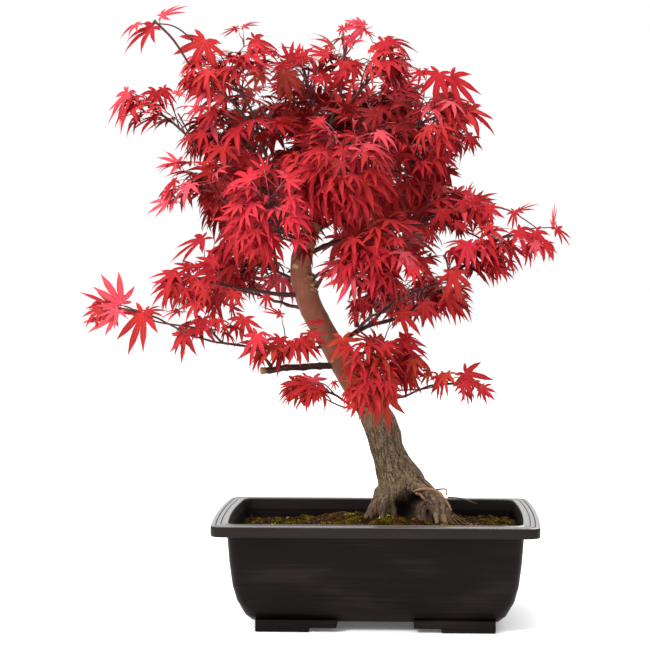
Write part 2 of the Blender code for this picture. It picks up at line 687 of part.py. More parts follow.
def grow_mass(name, limbs, others, seed):
    """Twigs and leaves of one mass, as skins, each one clear of everything else.

    Every leaf's tip lies on the edge of the mass's space. A twig joins the leaf's
    root to the stem, leaving it a little below the nearest point.
    """
    rule = random.Random(seed)
    centre = Vector(MASSES[name][0]) * MM
    half = Vector(MASSES[name][1]) * MM
    route, radii, parent = mass_stem(name, limbs)
    stem = Limb(route, radii)
    skins = [tube(route, radii, STEM_SIDES)]
    stem_tree = BVHTree.FromPolygons(*skins[0])
    grown = []
    hearts = []
    side = -1 if centre.y < BACK_FROM else 1
    facing = Vector((rule.uniform(-LEAN, LEAN), side * FACE_OUT, 1)).normalized()
    headings = spread_headings(TRIES, rule)
    for room, size, heading in ((room, size, heading) for room in SPACINGS for size in LEAF_SIZES
                                for heading in headings):
        if len(hearts) == LEAVES_PER_MASS:
            break
        reach = Vector(heading[k] * half[k] for k in range(3))
        lift = (facing + Vector(rule.uniform(-WOBBLE, WOBBLE) for _ in range(3))).normalized()
        along = reach.normalized() + Vector((0, 0, -DROOP))
        along = (along - lift * along.dot(lift) * FLATTEN).normalized()
        length = LEAF * size
        root = centre + reach * rule.uniform(*TIP_REACH) - along * length
        heart = root + along * length * (1 - HEART_TO_TIP)
        if any(spacing(heart - other, facing) < room for other in hearts):
            continue
        share = stem.nearest(root)
        origin = stem.at(max(FIRST_TWIG, share - TWIG_BACK))
        way = root - origin
        turn = way.normalized().dot(along)
        twist = abs(way.normalized().dot(lift.cross(along).normalized()))
        if way.length < SHORTEST_TWIG or turn < SHARPEST_TURN or twist > MOST_TWIST:
            continue
        clear = origin + way.normalized() * STEM_ROOM
        verts, faces = leaf_skin(origin, root, along, lift, length)
        fat, _ = leaf_skin(clear, root, along, lift, length, LEEWAY)
        if not all(inside(v, centre, half) for v in verts[:-3]):
            continue
        if touches(fat, faces, others + grown + [stem_tree]):
            continue
        grown.append(BVHTree.FromPolygons(fat, faces))
        hearts.append(heart)
        skins.append((verts, faces))
    return skins, parent


def fuse(name, skins, parent, limbs, solver):
    """One Boolean union of a mass's skins; tells whether it is one closed body."""
    tint = TINTS.get(name, "crimson")
    made_of = material("leaf_" + tint, RED[tint], 0.6)
    mass = add_object(name, *skins[0], made_of, 20)
    group = bpy.data.collections.new("growth")
    bpy.context.scene.collection.children.link(group)
    for verts, faces in skins[1:]:
        piece = add_object("piece", verts, faces, made_of, 20)
        group.objects.link(piece)
        bpy.context.collection.objects.unlink(piece)
    apply_boolean(mass, "UNION", group=group, solver=solver)
    for piece in list(group.objects):
        remove(piece)
    bpy.data.collections.remove(group)
    if parent:
        clear_of(mass, parent, limbs)
    closed, bodies = keep_largest_body(mass)
    return mass, closed and bodies == 1 and len(mass.data.polygons) > FEWEST_FACES


def join_mass(name, skins, parent, limbs):
    """Fuse a mass by either solver; where neither leaves it whole, one leaf is left out."""
    choices = [skins] + [skins[:k] + skins[k + 1:] for k in reversed(range(1, len(skins)))]
    for choice in choices:
        for solver in ("EXACT", "MANIFOLD"):
            mass, sound = fuse(name, choice, parent, limbs, solver)
            if sound:
                mass.name = name
                return mass
            remove(mass)
    raise RuntimeError(name + " can't be fused")


def fattened(obj, extra):
    """Search tree of an object's mesh, pushed out by a little."""
    mesh = obj.data
    verts = [v.co + v.normal * extra for v in mesh.vertices]
    return BVHTree.FromPolygons(verts, [tuple(p.vertices) for p in mesh.polygons])


def build_foliage(limbs, solids):
    """Every mass in turn, each kept clear of limbs, of all stems and of the masses before it."""
    trees = {name: fattened(obj, LEEWAY) for name, obj in solids.items()}
    for name in MASSES:
        route, radii, _ = mass_stem(name, limbs)
        trees[name] = BVHTree.FromPolygons(*tube(route, [radius + LEEWAY for radius in radii], STEM_SIDES))
    for order, name in enumerate(MASSES):
        others = [tree for key, tree in trees.items() if key != name]
        skins, parent = grow_mass(name, limbs, others, SEED + order)
        obj = join_mass(name, skins, parent, limbs)
        trees[name] = fattened(obj, LEEWAY / 2)
        print(name, "leaves", len(skins) - 1, "triangles", len(obj.data.polygons))


# --------------------------------------------------------------------- the whole
def main():
    """Build every piece, then put the middle of the whole box at x = y = 0."""
    for old in list(bpy.data.objects):
        bpy.data.objects.remove(old)
    limbs = limb_routes()
    solids = {"pot": build_pot(), "soil": build_soil(), "trunk": build_trunk()}
    solids.update(build_limbs(limbs))
    build_foliage(limbs, solids)
    pieces = [obj for obj in bpy.data.objects if obj.type == "MESH"]
    corners = [vert.co for obj in pieces for vert in obj.data.vertices]
    middle = [(min(c[k] for c in corners) + max(c[k] for c in corners)) / 2 for k in range(2)]
    for obj in pieces:
        obj.data.transform(Matrix.Translation((-middle[0], -middle[1], 0)))
    print("triangles in all", sum(len(obj.data.polygons) for obj in pieces), "pieces", len(pieces))


main()
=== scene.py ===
# %% [markdown]
# # A japanese maple bonsai, dressed round its CAD frame
# The CAD model gives the plant's plain solids: pot, soil, trunk, boughs and one
# rough star-leaved mass at the end of each bough. This lesson puts a finer skin
# round them. Everything is in metres, +Z is up and the viewer stands on the -Y side.

import math
import random

import bmesh
import bpy
import numpy
from mathutils import Matrix, Vector, noise
from mathutils.bvhtree import BVHTree


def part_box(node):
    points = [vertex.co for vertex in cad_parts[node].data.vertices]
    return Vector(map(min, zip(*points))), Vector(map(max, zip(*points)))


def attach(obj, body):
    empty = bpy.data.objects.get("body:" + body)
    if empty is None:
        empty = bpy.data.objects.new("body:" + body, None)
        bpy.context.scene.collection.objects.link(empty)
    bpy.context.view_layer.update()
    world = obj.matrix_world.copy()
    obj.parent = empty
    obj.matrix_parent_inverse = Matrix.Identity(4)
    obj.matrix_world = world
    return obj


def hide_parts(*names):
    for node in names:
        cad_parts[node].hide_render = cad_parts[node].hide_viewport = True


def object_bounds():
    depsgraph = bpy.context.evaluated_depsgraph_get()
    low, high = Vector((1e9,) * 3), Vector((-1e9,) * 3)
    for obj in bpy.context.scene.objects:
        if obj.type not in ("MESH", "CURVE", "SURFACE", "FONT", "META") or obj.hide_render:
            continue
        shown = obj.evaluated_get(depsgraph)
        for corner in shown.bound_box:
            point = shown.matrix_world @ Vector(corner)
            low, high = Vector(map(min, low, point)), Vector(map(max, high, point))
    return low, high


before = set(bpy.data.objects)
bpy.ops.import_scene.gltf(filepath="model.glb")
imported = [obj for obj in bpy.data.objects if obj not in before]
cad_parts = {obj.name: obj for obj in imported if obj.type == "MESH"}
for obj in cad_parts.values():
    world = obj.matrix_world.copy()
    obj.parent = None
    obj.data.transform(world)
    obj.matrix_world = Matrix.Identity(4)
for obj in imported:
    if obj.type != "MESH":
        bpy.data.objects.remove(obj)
CAD_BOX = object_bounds()
NOISE_SEED = 4
noise.seed_set(NOISE_SEED)         # noise_vector follows the clock unless it is given a seed
MM = 0.001
pot_low, pot_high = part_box("pot")
PLACE = Vector(((pot_low.x + pot_high.x) / 2, (pot_low.y + pot_high.y) / 2, 0))
print("nodes", len(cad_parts), "pot middle", [round(v, 5) for v in PLACE])

# %% [markdown]
# ## The plant's plan
# The numbers below are the plan that the solids were grown from: a trunk
# centreline, limbs, and the space that each foliage mass fills. Only the surface
# roots are drawn slimmer here than in the solids, and moss is heaped against them.
# The tables are in millimetres, measured from the pot's middle, so that wood and
# leaves can grow on from the same limbs. `PLACE` moves the finished shapes to
# where the CAD pot stands.

# %% Tables of the plan
TRUNK = (
    (24, 14, 70, 27), (23, 14, 84, 26), (22, 14, 100, 24.5), (21, 14, 115, 22), (16, 13, 127, 17.2),
    (9, 13, 143, 14.8), (4, 12, 161, 15), (-5, 11, 181, 13.6), (-22, 8, 207, 11.8),
    (-43, 3, 242, 10), (-59, 2, 273, 10.2), (-66, 1, 300, 9.4), (-62, 0, 323, 8.6), (-53, 0, 345, 6.6),
    (-51, 1, 357, 5.4),
)
ROOTS = (
    ("left_root", ((14, 10, 106, 13), (5, 6, 94, 11.5), (-3, 3, 82, 9.5), (-6, 2, 70, 8))),
    ("right_root", ((24, 8, 112, 13), (38, 0, 109, 11), (50, -8, 99, 9.6), (57, -15, 89, 8.6),
                    (62, -20, 75, 7))),
    ("back_root", ((26, 18, 108, 12), (42, 24, 98, 9), (58, 28, 84, 6), (68, 30, 72, 4))),
    ("front_root", ((12, 2, 110, 8), (7, -6, 98, 6), (5.5, -11, 87, 5), (6, -14, 74, 5))),
)
MASSES = {
    "left_far": ((-219, -36, 268), (38, 26, 22)),
    "left_low": ((-144, -26, 251), (43, 34, 22)),
    "stub_cloud": ((-78, -16, 231), (43, 30, 18)),
    "low_left": ((-52, -26, 199), (36, 30, 17)),
    "front_low": ((-6, -44, 219), (30, 27, 44)),
    "low_right": ((19, -8, 220), (29, 34, 25)),
    "low_right_far": ((72, -16, 203), (32, 28, 17)),
    "left_mid": ((-149, -24, 289), (46, 34, 24)),
    "left_inner": ((-108, 36, 305), (42, 32, 38)),
    "back_low_left": ((-132, 86, 280), (43, 38, 31)),
    "right_low": ((44, 46, 277), (44, 36, 22)),
    "back_low_right": ((20, 120, 276), (50, 36, 28)),
    "right_mid": ((-4, -54, 313), (53, 34, 34)),
    "right_far": ((85, -12, 316), (39, 32, 26)),
    "right_upper": ((63, 8, 350), (43, 36, 24)),
    "right_tip": ((124, -14, 328), (40, 24, 22)),
    "crown_right": ((27, 14, 397), (38, 40, 38)),
    "right_shoulder": ((52, -16, 430), (44, 36, 37)),
    "top_right": ((4, -8, 473), (28, 34, 31)),
    "top_tuft": ((-28, 14, 486), (26, 34, 36)),
    "top_centre": ((-63, 22, 467), (32, 34, 33)),
    "crown_top": ((2, 50, 436), (42, 36, 36)),
    "top_left": ((-126, -42, 468), (45, 38, 33)),
    "top_left_tip": ((-178, -68, 503), (30, 28, 21)),
    "left_upper": ((-188, 4, 438), (46, 34, 21)),
    "left_mid_upper": ((-146, -34, 371), (44, 36, 29)),
    "centre_left": ((-86, -86, 352), (38, 34, 38)),
    "crown_heart": ((-30, -56, 384), (46, 38, 43)),
    "crown_left": ((-126, 22, 426), (47, 34, 36)),
    "back_top": ((-58, 92, 430), (50, 42, 46)),
    "back_left": ((-121, 96, 369), (46, 40, 42)),
    "back_right": ((20, 96, 366), (51, 40, 44)),
}
LIMBS = {
    "cut_stub": ("trunk", 0.515, None, 1.0, (0, 0, 1), 3.0, 2.6),
    "left_shoot": ("cut_stub", 0.86, "left_low", 0.62, (4, -3, 5), 1.5, 1.0),
    "left_far_shoot": ("left_shoot", 0.80, "left_far", 0.62, (0, -14, -3), 1.0, 0.8),
    "low_left_twig": ("trunk", 0.355, "low_left", 0.52, (3, -2, -4), 1.8, 1.0),
    "low_right_twig": ("trunk", 0.405, "low_right_far", 0.56, (0, -8, -3), 1.5, 0.9),
    "left_bough": ("trunk", 0.735, "left_mid", 0.62, (0, 0, -1), 2.4, 1.3),
    "left_back_bough": ("trunk", 0.70, "back_low_left", 0.52, (0, 6, -2), 1.9, 1.1),
    "right_bough": ("trunk", 0.545, "right_low", 0.60, (-10, 16, 4), 2.7, 1.6),
    "right_back_bough": ("right_bough", 0.50, "back_low_right", 0.50, (0, 4, 3), 1.7, 1.1),
    "right_front_bough": ("trunk", 0.755, "right_mid", 0.52, (0, 2, 7), 2.0, 1.2),
    "right_far_bough": ("right_bough", 0.66, "right_far", 0.52, (0, -6, 5), 1.5, 1.0),
    "right_reach_bough": ("trunk", 0.845, "right_upper", 0.62, (0, 4, 5), 2.3, 1.3),
    "right_tip_shoot": ("right_reach_bough", 0.90, "right_tip", 0.66, (4, -14, 8), 1.2, 0.8),
    "crown_right_bough": ("trunk", 0.945, "crown_right", 0.56, (-4, 2, 5), 2.1, 1.2),
    "leader": ("trunk", 1.0, "top_tuft", 0.64, (-4, 4, 0), 4.4, 1.6),
    "shoulder_bough": ("leader", 0.46, "right_shoulder", 0.56, (-4, 0, 5), 1.8, 1.1),
    "top_left_bough": ("trunk", 0.93, "top_left", 0.66, (-5, -6, -3), 2.3, 1.2),
    "top_left_shoot": ("top_left_bough", 0.84, "top_left_tip", 0.52, (4, -4, 2), 1.2, 0.8),
    "left_upper_bough": ("trunk", 0.915, "left_upper", 0.64, (0, 10, 5), 1.8, 1.0),
    "left_high_bough": ("trunk", 0.875, "left_mid_upper", 0.55, (0, -2, 3), 1.8, 1.1),
    "front_left_bough": ("trunk", 0.815, "centre_left", 0.50, (2, 0, 6), 1.7, 1.1),
    "back_left_bough": ("trunk", 0.895, "back_left", 0.56, (0, 4, 4), 1.9, 1.1),
    "back_right_bough": ("trunk", 0.905, "back_right", 0.56, (0, 4, 4), 1.9, 1.1),
    "heart_bough": ("trunk", 0.95, "crown_heart", 0.42, (3, -5, -2), 1.7, 1.1),
}
SIDE_STEMS = {
    "stub_cloud": ("trunk", 0.580),
    "front_low": ("trunk", 0.480),
    "low_right": ("trunk", 0.440),
    "crown_left": ("top_left_bough", 0.36),
    "back_top": ("leader", 0.22),
    "left_inner": ("trunk", 0.775),
    "top_right": ("leader", 0.82),
    "top_centre": ("leader", 0.62),
    "crown_top": ("leader", 0.40),
}
STUB_END = Vector((-99, -15, 214))
LIMB_STEPS = 5
STEM_END = 1.15 * MM
GAP = 0.3 * MM
print("limbs", len(LIMBS), "masses", len(MASSES))

# %% [markdown]
# ## Camera, floor and light
# A long lens keeps the pot's lines almost parallel, as in a catalogue picture.
# The floor and the world are white, and large soft lamps stand on both sides, so
# the plant only has a faint shadow under its pot.

# %% Camera
EYE = Vector((0.0295, -1.7014, 0.3180))
YAW = -0.04373
PITCH = -0.03820
LENS = 109.14

camera = bpy.data.objects.new("camera", bpy.data.cameras.new("camera"))
camera.data.lens = LENS
camera.data.sensor_width = 36
camera.location = EYE + PLACE
camera.rotation_euler = (math.pi / 2 + PITCH, 0, -YAW)
bpy.context.collection.objects.link(camera)
bpy.context.scene.camera = camera
bpy.context.scene.view_settings.view_transform = "Standard"
print("camera at", [round(v, 3) for v in camera.location])


# %% [markdown]
# ## Shader sums written as Python
# A material is a small network of nodes. `Wire` stands for one output socket, and
# the operators on it add Math nodes, so a mask can be written as `1 - dust * 0.5`.
# `Finish` is the material itself: its `node` method adds any node, with its
# settings first and then what goes into its sockets.

# %% Wire and Finish
class Wire:
    """One output socket of a material; sums on it become Math nodes."""

    def __init__(self, finish, socket):
        self.finish = finish
        self.socket = socket

    def sum(self, operation, left, right):
        return self.finish.node("ShaderNodeMath", {"operation": operation}, {0: left, 1: right})

    def __add__(self, other):
        return self.sum("ADD", self, other)

    def __radd__(self, other):
        return self.sum("ADD", other, self)

    def __sub__(self, other):
        return self.sum("SUBTRACT", self, other)

    def __rsub__(self, other):
        return self.sum("SUBTRACT", other, self)

    def __mul__(self, other):
        return self.sum("MULTIPLY", self, other)

    def __rmul__(self, other):
        return self.sum("MULTIPLY", other, self)

    def __pow__(self, other):
        return self.sum("POWER", self, other)


class Finish:
    """A material in the making, with the Principled shader that it feeds."""

    def __init__(self, name, roughness=0.6, **constants):
        self.material = bpy.data.materials.new(name)
        self.material.use_nodes = True
        self.tree = self.material.node_tree
        self.shader = self.tree.nodes["Principled BSDF"]
        self.shader.inputs["Roughness"].default_value = roughness
        for key, value in constants.items():
            self.shader.inputs[key.replace("_", " ")].default_value = value
        self.place = self.node("ShaderNodeTexCoord", output="Object")

    def node(self, kind, settings=None, sockets=None, output=0):
        made = self.tree.nodes.new(kind)
        settings = dict(settings or {})
        stops = settings.pop("stops", None)
        for key, value in settings.items():
            setattr(made, key, value)
        if stops:
            ramp = made.color_ramp
            while len(ramp.elements) < len(stops):
                ramp.elements.new(0.5)
            for element, (position, colour) in zip(ramp.elements, stops):
                element.position = position
                element.color = (*colour, 1.0)
        for key, value in (sockets or {}).items():
            self.plug(made.inputs[key], value)
        return Wire(self, made.outputs[output])

    def plug(self, socket, value):
        if isinstance(value, Wire):
            self.tree.links.new(value.socket, socket)
        elif socket.type == "RGBA":
            socket.default_value = (*value, 1.0)
        else:
            socket.default_value = value

    def feed(self, socket, value):
        """Lead a value that changes over the surface into the shader."""
        self.plug(self.shader.inputs[socket], value)

    def stretched(self, x, y, z):
        """Object coordinates with each axis scaled by its own factor."""
        return self.node("ShaderNodeMapping", {}, {"Vector": self.place, "Scale": (x, y, z)})

    def grain(self, scale, detail=3.0, where=None, rough=0.55):
        """Soft noise between 0 and 1."""
        return self.node("ShaderNodeTexNoise", {}, {"Vector": where or self.place, "Scale": scale,
                                                    "Detail": detail, "Roughness": rough})

    def band(self, value, low, high):
        """0 below low, 1 above high, with a soft step between."""
        return self.node("ShaderNodeMapRange", {"interpolation_type": "SMOOTHSTEP"},
                         {"Value": value, "From Min": low, "From Max": high})

    def blend(self, mask, first, second):
        """A colour between two, by a mask from 0 to 1."""
        return self.node("ShaderNodeMix", {"data_type": "RGBA"},
                         {"Factor": mask, "A": first, "B": second}, output="Result")

    def height(self):
        """How high a point is, in metres."""
        return self.node("ShaderNodeSeparateXYZ", {}, {0: self.place}, output="Z")

    def own(self, name):
        """A number that the mesh itself carries at each corner."""
        return self.node("ShaderNodeAttribute", {"attribute_name": name}, output="Fac")

    def relief(self, value, distance, strength=1.0):
        """Fine bumps in the shading."""
        bump = self.node("ShaderNodeBump", {}, {"Height": value, "Distance": distance, "Strength": strength})
        self.feed("Normal", bump)


print("shader helpers ready")

# %% [markdown]
# ## Floor and lamps
# The floor is a plain pale plane. Big lamps give soft edges to every shadow.

# %% Floor, world and lamps
FLOOR_SIDE = 12.0
FLOOR_GLOW = 0.09                  # evens out the lamps' falloff
LAMPS = (
    ("key", (-1.5, -1.5, 1.9), 1.1, 75),
    ("back", (0.9, 1.7, 1.7), 1.4, 30),
    ("top", (-0.2, -0.2, 2.4), 1.2, 30),
)
bm = bmesh.new()
bmesh.ops.create_grid(bm, x_segments=1, y_segments=1, size=FLOOR_SIDE / 2)
floor_mesh = bpy.data.meshes.new("floor")
bm.to_mesh(floor_mesh)
bm.free()
floor = bpy.data.objects.new("floor", floor_mesh)
bpy.context.collection.objects.link(floor)
paper = Finish("floor_white", 0.8)
paper.shader.inputs["Base Color"].default_value = (0.95, 0.95, 0.95, 1)
paper.shader.inputs["Emission Color"].default_value = (1, 1, 1, 1)
paper.shader.inputs["Emission Strength"].default_value = FLOOR_GLOW
floor.data.materials.append(paper.material)

world = bpy.data.worlds.new("studio")
world.use_nodes = True
world.node_tree.nodes["Background"].inputs["Color"].default_value = (1, 1, 1, 1)
world.node_tree.nodes["Background"].inputs["Strength"].default_value = 1.0
bpy.context.scene.world = world

AIM = PLACE + Vector((-0.05, 0, 0.28))
for lamp_name, spot, size, power in LAMPS:
    lamp = bpy.data.objects.new(lamp_name, bpy.data.lights.new(lamp_name, "AREA"))
    lamp.data.size = size
    lamp.data.energy = power
    lamp.location = PLACE + Vector(spot)
    lamp.rotation_euler = (AIM - lamp.location).to_track_quat("-Z", "Y").to_euler()
    bpy.context.collection.objects.link(lamp)
print("lamps", len(LAMPS))


# %% [markdown]
# ## Helpers for making meshes
# A limb, a root or a pot wall is a row of rings. The first ring is laid down, and
# each next one is pulled out of it with the extrude operator and set in place.
# Small things in their thousands, such as leaves, are faster as plain arrays.

# %% Skins from rings
def finish_piece(name, mesh, made_of, slot, *stands_for):
    """Make an object of a mesh that is in the plan's place, hang it on the root and hide the CAD parts that
    it stands for.
    """
    mesh.transform(Matrix.Translation(PLACE))
    mesh.update()
    piece = bpy.data.objects.new(name, mesh)
    bpy.context.collection.objects.link(piece)
    mesh.materials.clear()
    mesh.materials.append(made_of)
    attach(piece, "root")
    if stands_for:
        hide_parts(*stands_for)
    print(name, "faces", len(mesh.polygons))
    return piece


def ring_skin(bm, rings):
    """Lay the first ring, extrude it through the others, and close both ends."""
    count = len(rings[0])
    ring = [bm.verts.new(point) for point in rings[0]]
    edges = [bm.edges.new((ring[k], ring[(k + 1) % count])) for k in range(count)]
    bmesh.ops.edgeloop_fill(bm, edges=edges)
    for places in rings[1:]:
        pulled = bmesh.ops.extrude_edge_only(bm, edges=edges)["geom"]
        fresh = {item for item in pulled if isinstance(item, bmesh.types.BMVert)}
        ring = [next(edge.other_vert(vert) for edge in vert.link_edges if edge.other_vert(vert) in fresh)
                for vert in ring]
        for vert, place in zip(ring, places):
            vert.co = place
        edges = [item for item in pulled if isinstance(item, bmesh.types.BMEdge)
                 and item.verts[0] in fresh and item.verts[1] in fresh]
    bmesh.ops.edgeloop_fill(bm, edges=edges)


def to_mesh(bm, name, smooth_angle=180):
    """Turn a bmesh into a mesh whose faces point out and look smooth."""
    bmesh.ops.recalc_face_normals(bm, faces=bm.faces)
    mesh = bpy.data.meshes.new(name)
    bm.to_mesh(mesh)
    bm.free()
    mesh.shade_smooth()
    if smooth_angle < 180:
        mesh.set_sharp_from_angle(angle=math.radians(smooth_angle))
    return mesh


def tube_rings(points, radii, sides, shape=None):
    """Rings round a centreline; shape(turn, row) scales the outline."""
    rings = []
    side = None
    for row, point in enumerate(points):
        ahead = points[min(row + 1, len(points) - 1)] - points[max(row - 1, 0)]
        ahead.normalize()
        if side is None:
            side = ahead.orthogonal().normalized()
        side = (side - ahead * side.dot(ahead)).normalized()
        across = ahead.cross(side)
        ring = []
        for k in range(sides):
            turn = 2 * math.pi * k / sides
            reach = radii[row] * (shape(turn, row) if shape else 1.0)
            ring.append(point + (side * math.cos(turn) + across * math.sin(turn)) * reach)
        rings.append(ring)
    return rings


def smooth_route(points, steps):
    """Catmull-Rom curve through the points (any number of values each)."""
    ends = [points[0] * 2 - points[1]] + list(points) + [points[-1] * 2 - points[-2]]
    route = []
    for k in range(1, len(ends) - 2):
        p0, p1, p2, p3 = ends[k - 1:k + 3]
        for step in range(steps):
            t = step / steps
            route.append(0.5 * ((2 * p1) + (p2 - p0) * t + (2 * p0 - 5 * p1 + 4 * p2 - p3) * t ** 2
                                + (3 * p1 - p0 - 3 * p2 + p3) * t ** 3))
    route.append(points[-1].copy())
    return route


class Pile:
    """Small shapes gathered as arrays, then made into one joined mesh."""

    def __init__(self):
        self.corners = []
        self.loops = []
        self.sizes = []
        self.uvs = []
        self.tones = []
        self.count = 0

    def add(self, corners, loops, sizes, tone=0.0, uvs=None):
        self.corners.append(corners)
        self.loops.append(loops + self.count)
        self.sizes.append(sizes)
        self.tones.append(numpy.full(len(corners), tone))
        if uvs is not None:
            self.uvs.append(uvs)
        self.count += len(corners)

    def mesh(self, name, smooth=True):
        corners = numpy.concatenate(self.corners)
        loops = numpy.concatenate(self.loops)
        sizes = numpy.concatenate(self.sizes)
        made = bpy.data.meshes.new(name)
        made.vertices.add(len(corners))
        made.vertices.foreach_set("co", corners.ravel())
        made.loops.add(len(loops))
        made.loops.foreach_set("vertex_index", loops.astype(numpy.int32))
        made.polygons.add(len(sizes))
        starts = numpy.concatenate(([0], numpy.cumsum(sizes)[:-1]))
        made.polygons.foreach_set("loop_start", starts.astype(numpy.int32))
        made.update(calc_edges=True)
        if self.uvs:
            made.uv_layers.new(name="blade")
            made.uv_layers["blade"].data.foreach_set("uv", numpy.concatenate(self.uvs).ravel())
        tone = made.attributes.new("tone", "FLOAT", "POINT")
        tone.data.foreach_set("value", numpy.concatenate(self.tones))
        if smooth:
            made.shade_smooth()
        return made


def thin_tube(points, radii, sides):
    """Corners, face loops and face sizes of a thin closed tube."""
    rings = tube_rings(points, radii, sides)
    corners = numpy.array([tuple(point) for ring in rings for point in ring])
    loops = []
    for row in range(len(rings) - 1):
        for k in range(sides):
            a = row * sides + k
            b = row * sides + (k + 1) % sides
            loops += [a, b, b + sides, a + sides]
    sizes = [4] * ((len(rings) - 1) * sides) + [sides, sides]
    loops += list(reversed(range(sides)))
    loops += range((len(rings) - 1) * sides, len(rings) * sides)
    return corners, numpy.array(loops), numpy.array(sizes)


print("mesh helpers ready")


# %% [markdown]
# ## The pot
# The real pot is a thin black plastic training pot. Its wall draws in towards the
# base, a wide rim overhangs it, the rim's top has two fine grooves and an inner
# bead, and the short ends bow out a little. One wall profile, carried round the
# outline ring by ring, gives all of that in one closed skin.

# %% Pot outline and profile
RIM_X = 135 * MM
RIM_Y = 100 * MM
RIM_OVERHANG = 12.8
WALL = 2.4
END_BULGE = 3.5 * MM
CORNER = 9 * MM
BODY = ((80, 0.0), (58, 1.6), (39, 4.0), (26, 7.4), (13, 14.0), (8, 19.0))
# the rim in mm: how far in from its outer face, and height
RIM_PROFILE = (
    (12.8, 82.0), (1.4, 82.0), (0.5, 82.2), (0.1, 82.8), (0.0, 86.0), (0.0, 90.0), (0.2, 90.6), (0.8, 91.0),
    (3.6, 91.0), (3.8, 90.3), (4.4, 90.3), (4.6, 91.0), (7.6, 91.0), (7.8, 90.4), (8.3, 90.4), (8.5, 91.0),
    (11.0, 91.0), (11.6, 91.5), (12.6, 91.6), (13.4, 91.3), (13.8, 90.4), (14.2, 87.0),
)
INNER_BODY = ((80, 0.0), (58, 1.6), (39, 4.0), (26, 7.4), (13, 14.0), (10.4, 18.0))


def pot_outline(half_x, half_y, height, per_side=20, per_corner=6):
    """A rounded rectangle whose two short ends bow outward."""
    ring = []
    for sign_x, sign_y, start in ((1, 1, 0), (-1, 1, 90), (-1, -1, 180), (1, -1, 270)):
        middle = Vector((sign_x * (half_x - CORNER), sign_y * (half_y - CORNER), height))
        for k in range(per_corner + 1):
            turn = math.radians(start + 90 * k / per_corner)
            ring.append(middle + Vector((math.cos(turn), math.sin(turn), 0)) * CORNER)
        along_x = sign_x * sign_y > 0
        for k in range(1, per_side):
            share = 1 - 2 * k / per_side
            if along_x:
                ring.append(Vector(((half_x - CORNER) * share * sign_x, sign_y * half_y, height)))
            else:
                ring.append(Vector((sign_x * half_x, sign_y * (half_y - CORNER) * share, height)))
    for point in ring:
        across = max(0.0, 1 - (point.y / half_y) ** 2)
        share = (abs(point.x) - (half_x - CORNER)) / CORNER
        if share > 0:
            point.x += math.copysign(END_BULGE * across * min(1.0, share), point.x)
    return ring


def pot_ring(inward, height):
    """The outline at a height, a number of mm in from the rim's outer face."""
    return pot_outline(RIM_X - inward * MM, RIM_Y - inward * MM, height * MM)


rings = [pot_ring(RIM_OVERHANG + inset, height) for height, inset in reversed(BODY)]
rings += [pot_ring(inward, height) for inward, height in RIM_PROFILE]
rings += [pot_ring(RIM_OVERHANG + WALL + inset, height) for height, inset in INNER_BODY]
bm = bmesh.new()
ring_skin(bm, rings)
print("pot rings", len(rings), "of", len(rings[0]))

# %% [markdown]
# The pot stands on four stepped bracket feet at its corners. Each one is a side
# view drawn as one face, extruded across its width, and then bevelled.

# %% Pot feet
FOOT_X = 100
FOOT_Y = 76
FOOT_WIDTH = 30
FOOT_BEVEL = 0.9 * MM
FOOT_BEVEL_TOP = 9 * MM            # edges that reach below this are rounded
FOOT_SIDE = ((0, 0), (0, 10), (-68, 10), (-68, 3.5), (-45, 3.5), (-45, 0))

for sign_x in (1, -1):
    for sign_y in (1, -1):
        corners = [bm.verts.new((sign_x * (FOOT_X + x) * MM, sign_y * FOOT_Y * MM, z * MM))
                   for x, z in FOOT_SIDE]
        side = bm.faces.new(corners)
        pulled = bmesh.ops.extrude_face_region(bm, geom=[side])["geom"]
        moved = [item for item in pulled if isinstance(item, bmesh.types.BMVert)]
        bmesh.ops.translate(bm, verts=moved, vec=(0, -sign_y * FOOT_WIDTH * MM, 0))
        upright = [edge for edge in dict.fromkeys(e for vert in corners + moved for e in vert.link_edges)
                   if min(vert.co.z for vert in edge.verts) < FOOT_BEVEL_TOP]
        bmesh.ops.bevel(bm, geom=upright, offset=FOOT_BEVEL, offset_type="OFFSET", segments=2, profile=0.5,
                        affect="EDGES", material=-1)
pot_mesh = to_mesh(bm, "pot_shell", 38)

# %% [markdown]
# Black plastic is never quite black: it has a soft sheen, and handling leaves a
# dusty film with fine level scuffs. The film is a noise stretched along the pot,
# and it lifts both the colour and the roughness. The rim's flat top is painted a
# lighter grey, a painted sheen for the bright room that it reflects; it also gets
# a glossy coat and less roughness.

# %% Pot finish
plastic = Finish("black_plastic", 0.42, Specular_IOR_Level=0.07, Coat_Roughness=0.16)
scuffs = plastic.grain(1.0, 4.0, plastic.stretched(9, 9, 420), 0.6)
film = plastic.grain(1.0, 3.0, plastic.stretched(12, 12, 40), 0.5)
dust = plastic.band(scuffs * 0.35 + film * 0.65, 0.46, 0.72)
shell = plastic.blend(dust, (0.0038, 0.0022, 0.0019), (0.0140, 0.0097, 0.0083))
shell = plastic.blend(plastic.band(plastic.height(), 0.0818, 0.0824) * 0.5, shell, (0.024, 0.0185, 0.0165))
# the rim's top gets a lighter grey base colour, a painted sheen, besides its lower roughness and its coat
rim_top_painted_sheen = plastic.band(plastic.height(), 0.0904, 0.0908)
plastic.feed("Base Color", plastic.blend(rim_top_painted_sheen, shell, (0.075, 0.068, 0.064)))
plastic.feed("Roughness", (0.36 + dust * 0.26) * (1 - rim_top_painted_sheen) + 0.17 * rim_top_painted_sheen)
plastic.feed("Coat Weight", rim_top_painted_sheen * 0.5)
plastic.relief(plastic.grain(900, 2.0) * 0.5 + scuffs * 0.5, 0.00012, 0.5)
finish_piece("pot_shell", pot_mesh, plastic.material, "pot_plastic", "pot")


# %% [markdown]
# ## The soil
# Soil fills the pot up to a finger below the rim and rises a little at the trunk.
# Its skin is the pot's inner outline, drawn in ring by ring. Each point is lifted
# by a few sizes of noise, so that the surface looks crumbled, and by a few heaps
# of moss that lean on the roots.

